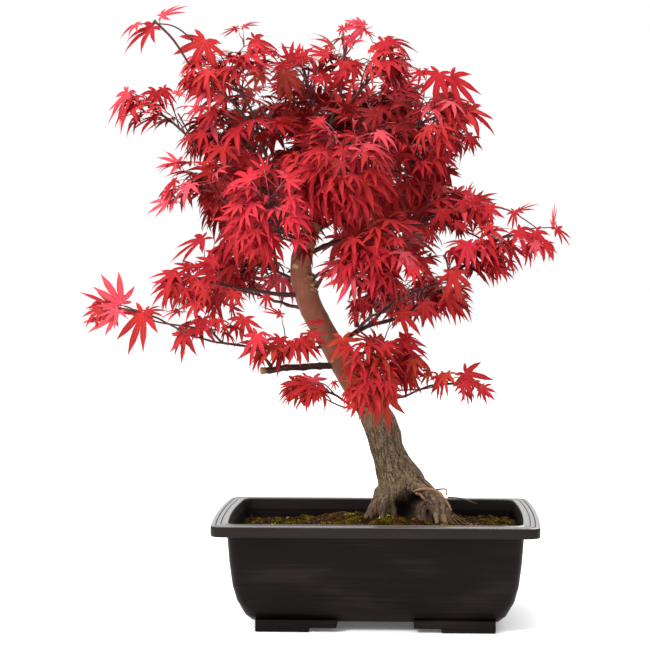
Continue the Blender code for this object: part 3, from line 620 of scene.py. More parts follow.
# %% Soil surface
SOIL_EDGE = 74 * MM
SOIL_MOUND = 80 * MM
MOUND_CENTRE = (22 * MM, 4 * MM)
MOUND_FLAT = (66 * MM, 34 * MM)
MOUND_FALL = (60 * MM, 45 * MM)
MOSS_RISE = 1.9 * MM
MOSS_PACE = (8.6 * MM, 8.0 * MM)
FOOT_CENTRE = (24 * MM, 6 * MM)
FOOT_HALF = (68 * MM, 46 * MM)
SWELL_EDGE = 0.3
SOIL_RINGS = 46
CRUMBS = ((0.010, 0.0016), (0.0042, 0.0011), (0.0018, 0.0006))    # size of the lumps, how high
# middle, half widths and height in mm of the moss heaps against the roots
HEAPS = (
    ((17, -25), (27, 14), 8.5),
    ((-13, -12), (13, 12), 6.0),
    ((56, -33), (15, 9), 5.0),
    ((-16, 24), (32, 30), 4.5),
)


def moss_swell(x, y):
    """Low cushions that the moss has built up away from the trunk's foot."""
    beyond = math.hypot((x - FOOT_CENTRE[0]) / FOOT_HALF[0], (y - FOOT_CENTRE[1]) / FOOT_HALF[1]) - 1
    share = min(1.0, max(0.0, beyond / SWELL_EDGE))
    return MOSS_RISE * share * math.sin(x / MOSS_PACE[0]) * math.cos(y / MOSS_PACE[1])


def soil_level(x, y):
    """Soil without its crumbs: level round the trunk, falling gently to the walls."""
    away_x = max(0.0, abs(x - MOUND_CENTRE[0]) - MOUND_FLAT[0]) / MOUND_FALL[0]
    away_y = max(0.0, abs(y - MOUND_CENTRE[1]) - MOUND_FLAT[1]) / MOUND_FALL[1]
    away = min(1.0, math.hypot(away_x, away_y))
    mound = SOIL_MOUND + (SOIL_EDGE - SOIL_MOUND) * away * away * (3 - 2 * away)
    return mound + moss_swell(x, y)


def soil_surface(x, y):
    """Soil with its crumbs, heaped against the roots."""
    lift = 0.0
    for (hx, hy), (half_x, half_y), high in HEAPS:
        away = math.hypot((x / MM - hx) / half_x, (y / MM - hy) / half_y)
        lift = max(lift, high * MM * math.exp(-away ** 4))
    for size, high in CRUMBS:
        lift += high * noise.noise(Vector((x / size, y / size, size * 900)))
    return soil_level(x, y) + lift


SOIL_INSIDE = RIM_OVERHANG + WALL + 0.4
SOIL_FOOT = 40 * MM                # the skin's lower edge, out of sight in the pot
SOIL_CENTRE_SHARE = 0.985          # how far the rings are drawn in
edge_ring = pot_outline(RIM_X - SOIL_INSIDE * MM, RIM_Y - SOIL_INSIDE * MM, 0.0, 60, 3)
rings = [pot_outline(RIM_X - (SOIL_INSIDE + 3) * MM, RIM_Y - (SOIL_INSIDE + 3) * MM, SOIL_FOOT, 60, 3)]
middle = Vector((MOUND_CENTRE[0], MOUND_CENTRE[1], 0))
for k in range(SOIL_RINGS):
    share = 1 - SOIL_CENTRE_SHARE * (k / (SOIL_RINGS - 1))
    ring = []
    for point in edge_ring:
        spot = middle + (point - middle) * share
        ring.append(Vector((spot.x, spot.y, soil_surface(spot.x, spot.y))))
    rings.append(ring)
bm = bmesh.new()
ring_skin(bm, rings)
soil_mesh = to_mesh(bm, "soil_bed")

earth = Finish("soil", 0.95, Specular_IOR_Level=0.05)
lumps = earth.grain(260, 4.0)
patches = earth.grain(38, 3.0)
dark_brown = earth.blend(lumps, (0.006, 0.003, 0.0015), (0.050, 0.021, 0.006))
earth.feed("Base Color", earth.blend(earth.band(patches, 0.48, 0.66), dark_brown, (0.048, 0.038, 0.005)))
earth.relief(earth.grain(700, 3.0), 0.0006)
finish_piece("soil_bed", soil_mesh, earth.material, "soil", "soil")

# %% [markdown]
# ## Moss, grit and sprouts
# Old bonsai soil carries a skin of moss, bits of bark and dry roots. Each kind is
# one joined mesh: moss as cushions of tiny pointed blades, grit as small broken
# octahedra. The places are drawn by a seeded rule, thick in some patches and
# thin in others.

# %% Moss cushions and grit
SOIL_SEED = 5
CUSHIONS = 900
BLADES = 22
GRIT = 3600
TRUNK_FOOT = (23 * MM, 13 * MM, 24 * MM)          # x, y and radius that nothing is strewn in
MOSS_TINTS = {
    "moss_yellow": ((0.058, 0.043, 0.0015), (0.250, 0.176, 0.006)),
    "moss_olive": ((0.010, 0.008, 0.001), (0.055, 0.042, 0.002)),
    "moss_brown": ((0.020, 0.007, 0.001), (0.130, 0.045, 0.006)),
}
rule = random.Random(SOIL_SEED)
soil_half = (RIM_X - (SOIL_INSIDE + 3) * MM, RIM_Y - (SOIL_INSIDE + 3) * MM)


def soil_spot(rule):
    """A place on the soil, clear of the trunk's foot."""
    while True:
        x = rule.uniform(-soil_half[0], soil_half[0])
        y = rule.uniform(-soil_half[1], soil_half[1])
        if math.hypot((x - TRUNK_FOOT[0]) / 1.25, y - TRUNK_FOOT[1]) > TRUNK_FOOT[2]:
            return x, y


moss = {tint: Pile() for tint in MOSS_TINTS}
BLADE_LOOPS = numpy.array([0, 1, 3, 1, 2, 3, 2, 0, 3, 2, 1, 0])
BLADE_SIZES = numpy.array([3, 3, 3, 3])
for _ in range(CUSHIONS):
    x, y = soil_spot(rule)
    thick = noise.noise(Vector((x * 45, y * 45, 3.0)))
    if thick < rule.uniform(-0.5, 0.15):
        continue
    tint = rule.choices(list(MOSS_TINTS), (0.34 + thick, 0.36, 0.30))[0]
    radius = rule.uniform(1.6, 4.2) * MM
    tall = rule.uniform(1.0, 2.6) * MM
    for _ in range(BLADES):
        turn = rule.uniform(0, 2 * math.pi)
        out = radius * math.sqrt(rule.random())
        bx = x + out * math.cos(turn)
        by = y + out * math.sin(turn)
        rise = math.sqrt(max(0.0, 1 - (out / radius) ** 2))
        foot = Vector((bx, by, soil_surface(bx, by) - 0.3 * MM + rise * tall * 0.5))
        lean = Vector((math.cos(turn) * out / radius, math.sin(turn) * out / radius, 0.9)).normalized()
        tip = foot + lean * tall * rule.uniform(0.5, 1.1)
        wide = rule.uniform(0.35, 0.7) * MM
        spin = rule.uniform(0, 2 * math.pi)
        base = [foot + Vector((math.cos(spin + a), math.sin(spin + a), 0)) * wide for a in (0, 2.1, 4.2)]
        corners = numpy.array([tuple(p) for p in base + [tip]])
        moss[tint].add(corners, BLADE_LOOPS, BLADE_SIZES, rule.random())

for tint, (dark, light) in MOSS_TINTS.items():
    green = Finish(tint, 0.9, Specular_IOR_Level=0.05)
    green.feed("Base Color", green.blend(green.own("tone") * 0.6 + green.grain(500, 2.0) * 0.4, dark, light))
    finish_piece(tint, moss[tint].mesh(tint, smooth=False), green.material, "soil")

# %% Grit and bark chips
OCTAHEDRON = numpy.array(((1, 0, 0), (-1, 0, 0), (0, 1, 0), (0, -1, 0), (0, 0, 1), (0, 0, -1)), float)
OCTA_LOOPS = numpy.array((0, 2, 4, 2, 1, 4, 1, 3, 4, 3, 0, 4, 2, 0, 5, 1, 2, 5, 3, 1, 5, 0, 3, 5))
OCTA_SIZES = numpy.full(8, 3)
grit = Pile()
for _ in range(GRIT):
    x, y = soil_spot(rule)
    size = rule.uniform(0.5, 1.5) * MM * (1.7 if rule.random() < 0.06 else 1.0)
    turn = Matrix.Rotation(rule.uniform(0, 6.28), 3, Vector((rule.uniform(-1, 1), rule.uniform(-1, 1), 1)))
    stretch = numpy.array((rule.uniform(0.6, 1.6), rule.uniform(0.5, 1.0), rule.uniform(0.35, 0.8)))
    corners = (OCTAHEDRON * stretch * size) @ numpy.array(turn).T
    corners = corners + numpy.array((x, y, soil_surface(x, y) + size * 0.25))
    grit.add(corners, OCTA_LOOPS, OCTA_SIZES, rule.random())
gravel = Finish("grit", 0.92, Specular_IOR_Level=0.05)
tone = gravel.own("tone")
gravel.feed("Base Color", gravel.node("ShaderNodeValToRGB", {"stops": (
    (0.0, (0.006, 0.003, 0.002)), (0.5, (0.034, 0.014, 0.005)), (0.85, (0.11, 0.047, 0.014)),
    (1.0, (0.28, 0.15, 0.06)))}, {0: tone}))
finish_piece("soil_grit", grit.mesh("soil_grit", smooth=False), gravel.material, "soil")


# %% [markdown]
# ## Limbs as centrelines
# Every limb leaves its parent at a share of the parent's length and runs part of
# the way to the mass that it carries, with a slight bow. The same rule that made
# the solids is repeated here, with more points on each curve.

# %% Limb routes
class Limb:
    """A centreline that other pieces can leave from or continue."""

    def __init__(self, points, radii):
        self.points = points
        self.radii = radii
        self.lengths = [0.0]
        for a, b in zip(points, points[1:]):
            self.lengths.append(self.lengths[-1] + (b - a).length)

    def at(self, share):
        """The centreline point at a share of the length."""
        goal = share * self.lengths[-1]
        for k in range(1, len(self.points)):
            if self.lengths[k] >= goal:
                part = (goal - self.lengths[k - 1]) / (self.lengths[k] - self.lengths[k - 1])
                return self.points[k - 1].lerp(self.points[k], part)
        return self.points[-1].copy()

    def nearest(self, point):
        """Share of the length where the centreline comes nearest to a point."""
        return min((k / 20 for k in range(21)), key=lambda share: (self.at(share) - point).length)

    def end_direction(self):
        return (self.points[-1] - self.points[-2]).normalized()


def trunk_route(steps):
    """Centreline points and radii of the trunk, in metres."""
    rows = smooth_route([Vector(row) * MM for row in TRUNK], steps)
    return [Vector(row[:3]) for row in rows], [row[3] for row in rows]


def limb_routes():
    """Centrelines of the trunk and of every limb, worked out from the masses they carry."""
    made = {"trunk": Limb(*trunk_route(2))}
    for name, (parent, share, mass, reach, bow, root_radius, tip_radius) in LIMBS.items():
        start = made[parent].at(share)
        goal = (STUB_END if mass is None else Vector(MASSES[mass][0])) * MM
        if share == 1.0:
            start += made[parent].end_direction() * GAP
        points = []
        for k in range(LIMB_STEPS + 1):
            t = k / LIMB_STEPS
            points.append(start.lerp(goal, reach * t) + Vector(bow) * MM * math.sin(math.pi * t))
        if share == 1.0:
            points[1] = start + made[parent].end_direction() * (points[1] - start).length
        radii = [(root_radius + (tip_radius - root_radius) * k / LIMB_STEPS) * MM
                 for k in range(LIMB_STEPS + 1)]
        made[name] = Limb(points, radii)
    return made


def mass_stem(name):
    """Where a mass's stem runs: from its limb's tip or its parent's side, through its middle."""
    centre = Vector(MASSES[name][0]) * MM
    half = Vector(MASSES[name][1]) * MM
    if name in SIDE_STEMS:
        parent, share = SIDE_STEMS[name]
        start = limbs[parent].at(share)
        ahead = (centre - start).normalized()
        radius = 1.5 * MM
    else:
        carrier = next(limb for limb, row in LIMBS.items() if row[2] == name)
        ahead = limbs[carrier].end_direction()
        start = limbs[carrier].points[-1] + ahead * GAP
        radius = limbs[carrier].radii[-1]
    heading = (centre - start).normalized()
    end = centre + Vector(heading[k] * half[k] for k in range(3)) * 0.30
    first = start + ahead * max(4 * MM, 0.25 * (end - start).length)
    route = [start, first, start.lerp(end, 0.65) + Vector((0, 0, 2 * MM)), end]
    radii = [radius + (STEM_END - radius) * k / (len(route) - 1) for k in range(len(route))]
    return route, radii


limbs = limb_routes()
print("limb routes", len(limbs))

# %% [markdown]
# ## The trunk
# The trunk is a leaning S with a wide foot and a few surface roots. Its tube and
# the root tubes are melted into one skin by a voxel remesh, as wood grows over
# its own joints. Then every point is moved a little by the bark: long upright
# fissures low down, fine level rings and pores on the young wood above.

# %% Trunk body
VOXEL = 0.75 * MM
TRUNK_BOTTOM = 76 * MM
FLUTE_TOP = 140 * MM
bm = bmesh.new()
points, radii = trunk_route(7)


def trunk_shape(turn, row):
    """Fluted at the foot, nearly round above."""
    fluted = max(0.0, 1 - (points[row].z - SOIL_MOUND) / (FLUTE_TOP - SOIL_MOUND))
    wavy = 0.02 * math.cos(3 * turn + 9 * points[row].z / 0.1)
    return 1 + 0.10 * fluted * math.cos(5 * turn + 0.6) + wavy


ring_skin(bm, tube_rings(points, radii, 48, trunk_shape))
for _, route in ROOTS:
    rows = smooth_route([Vector(row) * MM for row in route], 6)
    ring_skin(bm, tube_rings([Vector(row[:3]) for row in rows], [row[3] for row in rows], 20))
solid_mesh = to_mesh(bm, "trunk_solid")
solid = bpy.data.objects.new("trunk_solid", solid_mesh)
bpy.context.collection.objects.link(solid)
melt = solid.modifiers.new("melt", "REMESH")
melt.mode = "VOXEL"
melt.voxel_size = VOXEL
bpy.context.view_layer.update()
shown = solid.evaluated_get(bpy.context.evaluated_depsgraph_get())
trunk_mesh = bpy.data.meshes.new_from_object(shown)
bpy.data.objects.remove(solid)
print("trunk corners", len(trunk_mesh.vertices))

# %% [markdown]
# The bark is worked out point by point. Each corner finds the nearest place on the
# trunk's centreline, which tells how far up it sits, and is then pushed along its
# normal. The same numbers are kept on the mesh, so that the finish can paint shade
# into the cracks and the deep dents, and lighten the scars.

# %% Bark relief
YOUNG_FROM = 160 * MM              # below this the bark is old and split
YOUNG_FULL = 196 * MM              # above this it is smooth
FISSURE_DEEP = 1.0 * MM
SCARS = (
    ((-51.5, -6.0, 290.5), 8.6, 3.4),
    ((-70.6, -8.5, 303.4), 3.0, 0.7),
    ((-60.2, -6.5, 330), 3.2, 0.5),
    ((-80.0, -3.0, 285), 4.6, 1.4),
    ((-39.5, -2.5, 222), 2.6, 0.5),
)
# place, size and depth of each dent in mm; a depth below nothing stands out instead
DENTS = (
    ((27, -14, 93), 12.0, 13.0), ((34, -11, 101), 7.0, 6.0), ((17, -14, 100), 5.0, 4.0),
    ((24, -11, 84), 12.0, 9.0), ((-1, -8, 84), 5.0, 4.0), ((14, -12, 113), 3.5, 1.5),
    ((-9, -4, 163), 8.0, -1.8), ((9.5, -13, 110), 3.6, -1.6), ((5.6, -15, 102), 3.6, -2.0),
)
NODE_RINGS = (0.212, 0.236, 0.262, 0.312, 0.332)  # heights of the old leaf scars on the young wood
RING_HALF = 0.0016
RING_HIGH = 0.35 * MM
WRAP = 0.016                       # radius of the drum that the bark pattern is rolled on
PIT_DEPTH = 3                      # a dent deeper than this gets painted shade inside
SPLIT_SCALE, FINE_SCALE, LUMP_SCALE = 620, 1500, 85
SCAR_SCALES = (260, 520, 700)      # ragged outline, rough top, mottled colour


def smooth_step(value, low, high):
    share = min(1.0, max(0.0, (value - low) / (high - low)))
    return share * share * (3 - 2 * share)


count = len(trunk_mesh.vertices)
where = numpy.empty(count * 3)
trunk_mesh.vertices.foreach_get("co", where)
where = where.reshape(-1, 3)
facing = numpy.empty(count * 3)
trunk_mesh.vertices.foreach_get("normal", facing)
facing = facing.reshape(-1, 3)
cracks = numpy.zeros(count)
pale = numpy.zeros(count)
pit_shade = numpy.zeros(count)
push = numpy.zeros(count)
spine = numpy.array([tuple(point) for point in points])
for k in range(count):
    x, y, z = where[k]
    centre = spine[numpy.argmin(numpy.abs(spine[:, 2] - z))]
    young = smooth_step(z + 0.012 * noise.noise(Vector((x, y, z)) * 60), YOUNG_FROM, YOUNG_FULL)
    dx, dy = x - centre[0], y - centre[1]
    turn = Vector((dx, dy, 0)).normalized() * WRAP
    at = Vector((turn.x, turn.y, (z - 0.08) * 0.16))
    split = 1 - abs(noise.noise(at * SPLIT_SCALE)) * 2.6
    fine = 1 - abs(noise.noise(at * FINE_SCALE + Vector((7, 3, 1)))) * 2.4
    crack = max(0.0, split) ** 2 * 0.65 + max(0.0, fine) ** 2 * 0.35
    lump = noise.noise(Vector((x, y, z)) * LUMP_SCALE)
    cracks[k] = crack * (1 - 0.92 * young)
    push[k] = -FISSURE_DEEP * cracks[k] + lump * (1.0 - 0.7 * young) * MM
    ring = sum(math.exp(-((z - level) / RING_HALF) ** 2) for level in NODE_RINGS)
    push[k] += RING_HIGH * ring * young
    for (sx, sy, sz), size, high in SCARS:
        gap = math.dist((x, y, z), (sx * MM, sy * MM, sz * MM)) / (size * MM)
        if gap < 1.9:
            ragged = noise.noise(Vector((x, y, z)) * SCAR_SCALES[0])
            bump = math.exp(-(gap * (1 + 0.55 * ragged)) ** 4)
            push[k] += high * MM * bump * (1 + 0.9 * noise.noise(Vector((x, y, z)) * SCAR_SCALES[1]))
            mottled = noise.noise(Vector((x, y, z)) * SCAR_SCALES[2])
            pale[k] = max(pale[k], bump * (0.75 + 0.5 * mottled))
    for (hx, hy, hz), size, deep in DENTS:
        gap = math.dist((x, y, z), (hx * MM, hy * MM, hz * MM)) / (size * MM)
        if gap < 2.2:
            dent = math.exp(-gap ** 2)
            push[k] -= deep * MM * dent
            if deep > PIT_DEPTH:
                pit_shade[k] = max(pit_shade[k], dent)
where += facing * push[:, None]
trunk_mesh.vertices.foreach_set("co", where.ravel())
for label, values in (("cracks", cracks), ("pale", pale), ("pit_shade", pit_shade)):
    trunk_mesh.attributes.new(label, "FLOAT", "POINT").data.foreach_set("value", values)
bm = bmesh.new()
bm.from_mesh(trunk_mesh)
bmesh.ops.bisect_plane(bm, geom=list(bm.verts) + list(bm.edges) + list(bm.faces),
                       plane_co=(0, 0, TRUNK_BOTTOM), plane_no=(0, 0, 1), clear_inner=True)
rim = [edge for edge in bm.edges if edge.is_boundary]
bmesh.ops.holes_fill(bm, edges=rim, sides=0)
bm.to_mesh(trunk_mesh)
bm.free()
trunk_mesh.shade_smooth()
print("trunk faces", len(trunk_mesh.polygons), "rim", len(rim))

# %% [markdown]
# Old bark is a dry grey tan, with painted shade darkening its cracks and its deep
# dents. The young wood above is a smooth red-brown with tiny pale pores, and healed
# cuts are pale and corky.

# %% Bark finish
bark = Finish("trunk_bark", 0.8, Specular_IOR_Level=0.12)
level = bark.height() + bark.grain(30, 2.0) * 0.03
youth = bark.band(level, YOUNG_FROM + 0.010, YOUNG_FULL + 0.020)
streaks = bark.grain(1.0, 4.0, bark.stretched(420, 420, 60), 0.6)
specks = bark.grain(900, 3.0)
flecks = bark.band(streaks * 0.55 + specks * 0.45, 0.34, 0.66)
old_wood = bark.blend(flecks, (0.042, 0.024, 0.014), (0.235, 0.165, 0.100))
# painted shade: the cracks are darkened towards near black
old_wood = bark.blend(bark.band(bark.own("cracks"), 0.22, 0.80) * 0.85, old_wood, (0.022, 0.013, 0.009))
low_down = 1 - bark.band(bark.height() + bark.grain(60, 2.0) * 0.03, 0.100, 0.140)
old_wood = bark.blend(low_down * 0.5, old_wood, (0.058, 0.033, 0.024))
mottle = bark.grain(1.0, 4.0, bark.stretched(150, 150, 45), 0.6)
young_wood = bark.blend(mottle, (0.105, 0.030, 0.017), (0.300, 0.110, 0.064))
pores = bark.node("ShaderNodeTexVoronoi", {}, {"Vector": bark.stretched(1.0, 1.0, 1.7), "Scale": 260.0},
                  output="Distance")
pore_mask = (1 - bark.band(pores, 0.10, 0.22)) * bark.band(mottle, 0.50, 0.60)
young_wood = bark.blend(pore_mask * 0.75, young_wood, (0.30, 0.20, 0.14))
wood = bark.blend(youth, old_wood, young_wood)
callus = bark.blend(specks, (0.190, 0.110, 0.050), (0.520, 0.360, 0.200))
wood = bark.blend(bark.band(bark.own("pale"), 0.30, 0.60), wood, callus)
# painted shade: the deep dents are made nearly black inside
wood = bark.blend(bark.band(bark.own("pit_shade"), 0.12, 0.62), wood, (0.009, 0.005, 0.004))
bark.feed("Base Color", wood)
bark.feed("Roughness", 0.86 - youth * 0.26)
bark.relief((streaks + specks) * (1 - youth) + bark.grain(600, 3.0) * 0.3, 0.0006, 0.8)
finish_piece("trunk_bark", trunk_mesh, bark.material, "trunk_bark", "trunk")

# %% [markdown]
# ## Torn bark, dry roots and sprouts
# Where the surface root leaves the trunk, a strip of old bark has peeled off and
# curls round it. Thin dead roots lie on the soil, a dry twig sticks out behind the
# root, and a few green seedlings have come up. All are thin tubes or small
# pointed blades, laid on the surface that is nearest to their place. The stub's
# pale cut end is made with the torn bark, because both are bare wood.

# %% Strips, strands and seedlings
TORN_STRIPS = (
    ((31.5, -9, 109), (36, -10, 111.5), (43, -11, 112.5), (50, -10, 111), (56, -11, 107), (61, -13, 101),
     (65, -16, 94)),
    ((32, -10, 107), (34, -10, 103), (39, -12, 101)),
)
STRIP_HALF = 1.5 * MM
ROOT_ENDS = (
    ((51, -18, 92), (52, -25, 86), (52, -29, 81)), ((57, -22, 91), (59, -28, 86), (61, -31, 81)),
)
STRANDS = (
    (((62, -20, 90), (66, -22, 84), (70, -23, 80)), 0.45),
    (((63, -18, 91), (69, -21, 85), (75, -22, 80)), 0.4),
    (((63, -16, 92), (72, -19, 86), (82, -20, 80)), 0.4),
    (((64, -14, 93), (75, -16, 86), (88, -18, 80)), 0.35),
    (((50, 20, 108), (60, 20, 108.5), (60.6, 20, 103)), 0.8),
    (((62, 30, 100), (74, 31, 99), (88, 33, 94)), 0.8),
    (((-42, 52, 80), (-32, 50, 84), (-20, 48, 82)), 0.4),
    (((-46, 36, 80), (-36, 34, 82), (-29, 33, 80)), 0.35),
    (((20, -24, 80), (27, -25, 84), (36, -24, 80)), 0.4),
    (((98, 88, 78), (104, 90, 84), (112, 91, 78)), 0.35),
)
SEEDLINGS = ((2, -17), (11, -23), (35, -16), (-22, 20), (-58, -24), (84, -26), (-90, 10), (66, 40))
strip_rule = random.Random(8)
trunk_skin = BVHTree.FromPolygons([v.co - PLACE for v in trunk_mesh.vertices],
                                  [tuple(p.vertices) for p in trunk_mesh.polygons])
torn = Pile()
for row in TORN_STRIPS:
    route = []
    for spot in smooth_route([Vector(point) * MM for point in row], 5):
        place, normal, _, _ = trunk_skin.find_nearest(spot)
        route.append(place + normal * STRIP_HALF * strip_rule.uniform(0.2, 0.7))
    widths = [STRIP_HALF * (0.35 + 0.65 * math.sin(math.pi * (k + 1) / (len(route) + 1)))
              for k in range(len(route))]
    torn.add(*thin_tube(route, widths, 7), strip_rule.random())
stub = limbs["cut_stub"]
cut = stub.points[-1]
torn.add(*thin_tube([cut - stub.end_direction() * 4 * MM, cut, cut + stub.end_direction() * 0.7 * MM],
                    [stub.radii[-1] + share * MM for share in (0.2, 0.7, 0.2)], 9), strip_rule.random())
peeled = Finish("torn_bark", 0.85, Specular_IOR_Level=0.1)
peeled.feed("Base Color", peeled.blend(peeled.grain(500, 3.0), (0.110, 0.046, 0.022), (0.430, 0.245, 0.145)))
finish_piece("torn_bark", torn.mesh("torn_bark"), peeled.material, "trunk_bark")
strands = Pile()
for row in ROOT_ENDS:
    route = smooth_route([Vector(point) * MM for point in row], 4)
    strands.add(*thin_tube(route, [(2.6 - 1.5 * k / (len(route) - 1)) * MM for k in range(len(route))], 8))
for row, radius in STRANDS:
    route = smooth_route([Vector(point) * MM for point in row], 5)
    strands.add(*thin_tube(route, [radius * MM * (1.1 - 0.5 * k / len(route)) for k in range(len(route))], 5))
dry = Finish("dry_roots", 0.85, Specular_IOR_Level=0.1)
dry.feed("Base Color", dry.blend(dry.grain(300, 3.0), (0.060, 0.035, 0.022), (0.240, 0.150, 0.095)))
finish_piece("dry_roots", strands.mesh("dry_roots"), dry.material, "trunk_bark")
seedlings = Pile()
for x, y in SEEDLINGS:
    for turn in range(5):
        angle = turn * 1.26 + strip_rule.uniform(-0.3, 0.3)
        foot = Vector((x * MM, y * MM, soil_surface(x * MM, y * MM)))
        out = Vector((math.cos(angle), math.sin(angle), 0))
        side = Vector((-out.y, out.x, 0)) * 0.7 * MM
        middle = foot + out * 1.8 * MM + Vector((0, 0, 2.4 * MM))
        tip = foot + out * strip_rule.uniform(3.2, 4.6) * MM
        tip = tip + Vector((0, 0, strip_rule.uniform(1.6, 4.2) * MM))
        corners = numpy.array([tuple(point) for point in (foot, middle - side, tip, middle + side)])
        seedlings.add(corners, numpy.array((0, 1, 2, 3)), numpy.array((4,)), strip_rule.random())
sprout = Finish("seedlings", 0.7, Specular_IOR_Level=0.1)
sprout.feed("Base Color", sprout.blend(sprout.own("tone"), (0.130, 0.260, 0.020), (0.340, 0.480, 0.060)))
finish_piece("seedlings", seedlings.mesh("seedlings", smooth=False), sprout.material, "soil")

# %% [markdown]
# ## Boughs
# A bough is a tapering tube with a slight swelling at every node, where a pair of
# buds once sat. All boughs are joined in one piece, and the twigs and leaf stalks
# will follow as arrays, because there are hundreds of them.

# %% Boughs
NODE_EVERY = 15 * MM
BOUGH_SIDES = 10
bm = bmesh.new()
bough_rule = random.Random(31)
for name in LIMBS:
    limb = limbs[name]
    rows = smooth_route([Vector((*point, radius)) for point, radius in zip(limb.points, limb.radii)], 6)
    centres = [Vector(row[:3]) for row in rows]
    travelled = 0.0
    widths = []
    phase = bough_rule.uniform(0, NODE_EVERY)
    for k, row in enumerate(rows):
        if k:
            travelled += (centres[k] - centres[k - 1]).length
        near = abs((travelled + phase) % NODE_EVERY - NODE_EVERY / 2)
        swelling = 1 + 0.22 * math.exp(-(near / (1.6 * MM)) ** 2)
        widths.append(row[3] * swelling)
        drift = noise.noise_vector(centres[k] * 90) * 0.9 * MM * min(1.0, travelled / 0.01)
        if k < len(rows) - 1:
            centres[k] = centres[k] + drift * min(1.0, (len(rows) - 1 - k) / 4)
    ring_skin(bm, tube_rings(centres, widths, BOUGH_SIDES))
bough_mesh = to_mesh(bm, "boughs")
bough_bark = Finish("bough_bark", 0.6, Specular_IOR_Level=0.2)
tone = bough_bark.grain(140, 3.0)
bough_bark.feed("Base Color", bough_bark.blend(tone, (0.016, 0.006, 0.006), (0.080, 0.030, 0.026)))
bough_bark.relief(bough_bark.grain(700, 3.0), 0.0003, 0.6)
finish_piece("boughs", bough_mesh, bough_bark.material, "bough_bark", *LIMBS)


# %% [markdown]
# ## One leaf
# A maple leaf has five to seven long lobes that meet at the end of the stalk.
# Each lobe folds a little along its midrib, hangs at its tip, and has a few
# coarse teeth. A handful of slightly different blades is enough, because every
# leaf is turned, tilted and sized on its own.

# %% Leaf blades
LOBES = ((-118, 0.36), (-78, 0.70), (-38, 0.92), (0, 1.0), (38, 0.92), (78, 0.70), (118, 0.36))
NOTCH = 0.26                       # where two lobes part, as a share of the blade
LOBE_ROWS = ((0.43, 0.098), (0.62, 0.088), (0.82, 0.038))   # share of the lobe, half width
SMALL_ROWS = ((0.62, 0.14),)
BLADE_KINDS = 7


def blade_shape(rule, fold, droop, spread):
    """Corners, loops, sizes and texture places of a blade: base at the origin, face up."""
    corners = [(0.0, 0.0, 0.0)]
    loops, sizes, uvs = [], [], []

    def corner(turn, reach, side=0.0, lift=0.0):
        x = math.cos(turn) * reach - math.sin(turn) * side
        y = math.sin(turn) * reach + math.cos(turn) * side
        corners.append((x, y, lift - droop * reach * reach))
        return len(corners) - 1

    def face(*ring):
        for index, u, v in ring:
            loops.append(index)
            uvs.append((u, v))
        sizes.append(len(ring))

    turns = [math.radians(turn * spread + rule.uniform(-4, 4)) for turn, _ in LOBES]
    reaches = [reach * rule.uniform(0.92, 1.06) for _, reach in LOBES]
    notches = []
    for k in range(len(LOBES) + 1):
        if 0 < k < len(LOBES):
            depth = NOTCH * (0.62 if k in (1, len(LOBES) - 1) else 1.0) * rule.uniform(0.9, 1.1)
            notches.append(corner((turns[k - 1] + turns[k]) / 2, depth, 0.0, 0.02))
        else:
            edge = turns[0] - 0.45 if k == 0 else turns[-1] + 0.45
            notches.append(corner(edge, 0.10, 0.0, 0.01))
    for k, (turn, reach) in enumerate(zip(turns, reaches)):
        small = LOBES[k][1] < 0.5
        bend = rule.uniform(-0.10, 0.10)
        left, right = notches[k], notches[k + 1]
        start = 0.55 if small else 0.80
        mid = corner(turn, NOTCH * start * (0.8 if small else 1.0), 0.0, -fold * 0.05)
        face((0, 0.5, 0.0), (left, 0.0, 0.3), (mid, 0.5, 0.3))
        face((0, 0.5, 0.0), (mid, 0.5, 0.3), (right, 1.0, 0.3))
        v_before = 0.3
        for share, width in (SMALL_ROWS if small else LOBE_ROWS):
            half = width * reach * rule.uniform(0.92, 1.10)
            curved = turn + bend * share * share
            next_mid = corner(curved, share * reach)
            next_left = corner(curved, share * reach * rule.uniform(0.97, 1.05), -half, fold * half)
            next_right = corner(curved, share * reach * rule.uniform(0.97, 1.05), half, fold * half)
            face((left, 0.0, v_before), (next_left, 0.0, share), (next_mid, 0.5, share), (mid, 0.5, v_before))
            face((mid, 0.5, v_before), (next_mid, 0.5, share), (next_right, 1.0, share),
                 (right, 1.0, v_before))
            left, mid, right, v_before = next_left, next_mid, next_right, share
        tip = corner(turn + bend, reach, 0.0, -0.03)
        face((left, 0.0, v_before), (tip, 0.5, 1.0), (mid, 0.5, v_before))
        face((mid, 0.5, v_before), (tip, 0.5, 1.0), (right, 1.0, v_before))
    return (numpy.array(corners), numpy.array(loops), numpy.array(sizes), numpy.array(uvs))


leaf_rule = random.Random(3)
BLADES_MADE = [blade_shape(leaf_rule, leaf_rule.uniform(0.25, 0.75), leaf_rule.uniform(0.18, 0.50),
                           leaf_rule.uniform(0.86, 1.04)) for _ in range(BLADE_KINDS)]
print("faces of one leaf", len(BLADES_MADE[0][2]))

# %% [markdown]
# ## Sprays of leaves
# Each mass carries on from its limb: a stem runs through its space, twigs leave
# the stem, and leaves sit on the twigs in pairs. A leaf that would leave the
# mass's space, close one of the gaps pruned through the crown, or lie on another
# leaf or on the trunk, is tried smaller and then left out. That keeps the crown's
# outline, and lets the sky through where the plan leaves room.

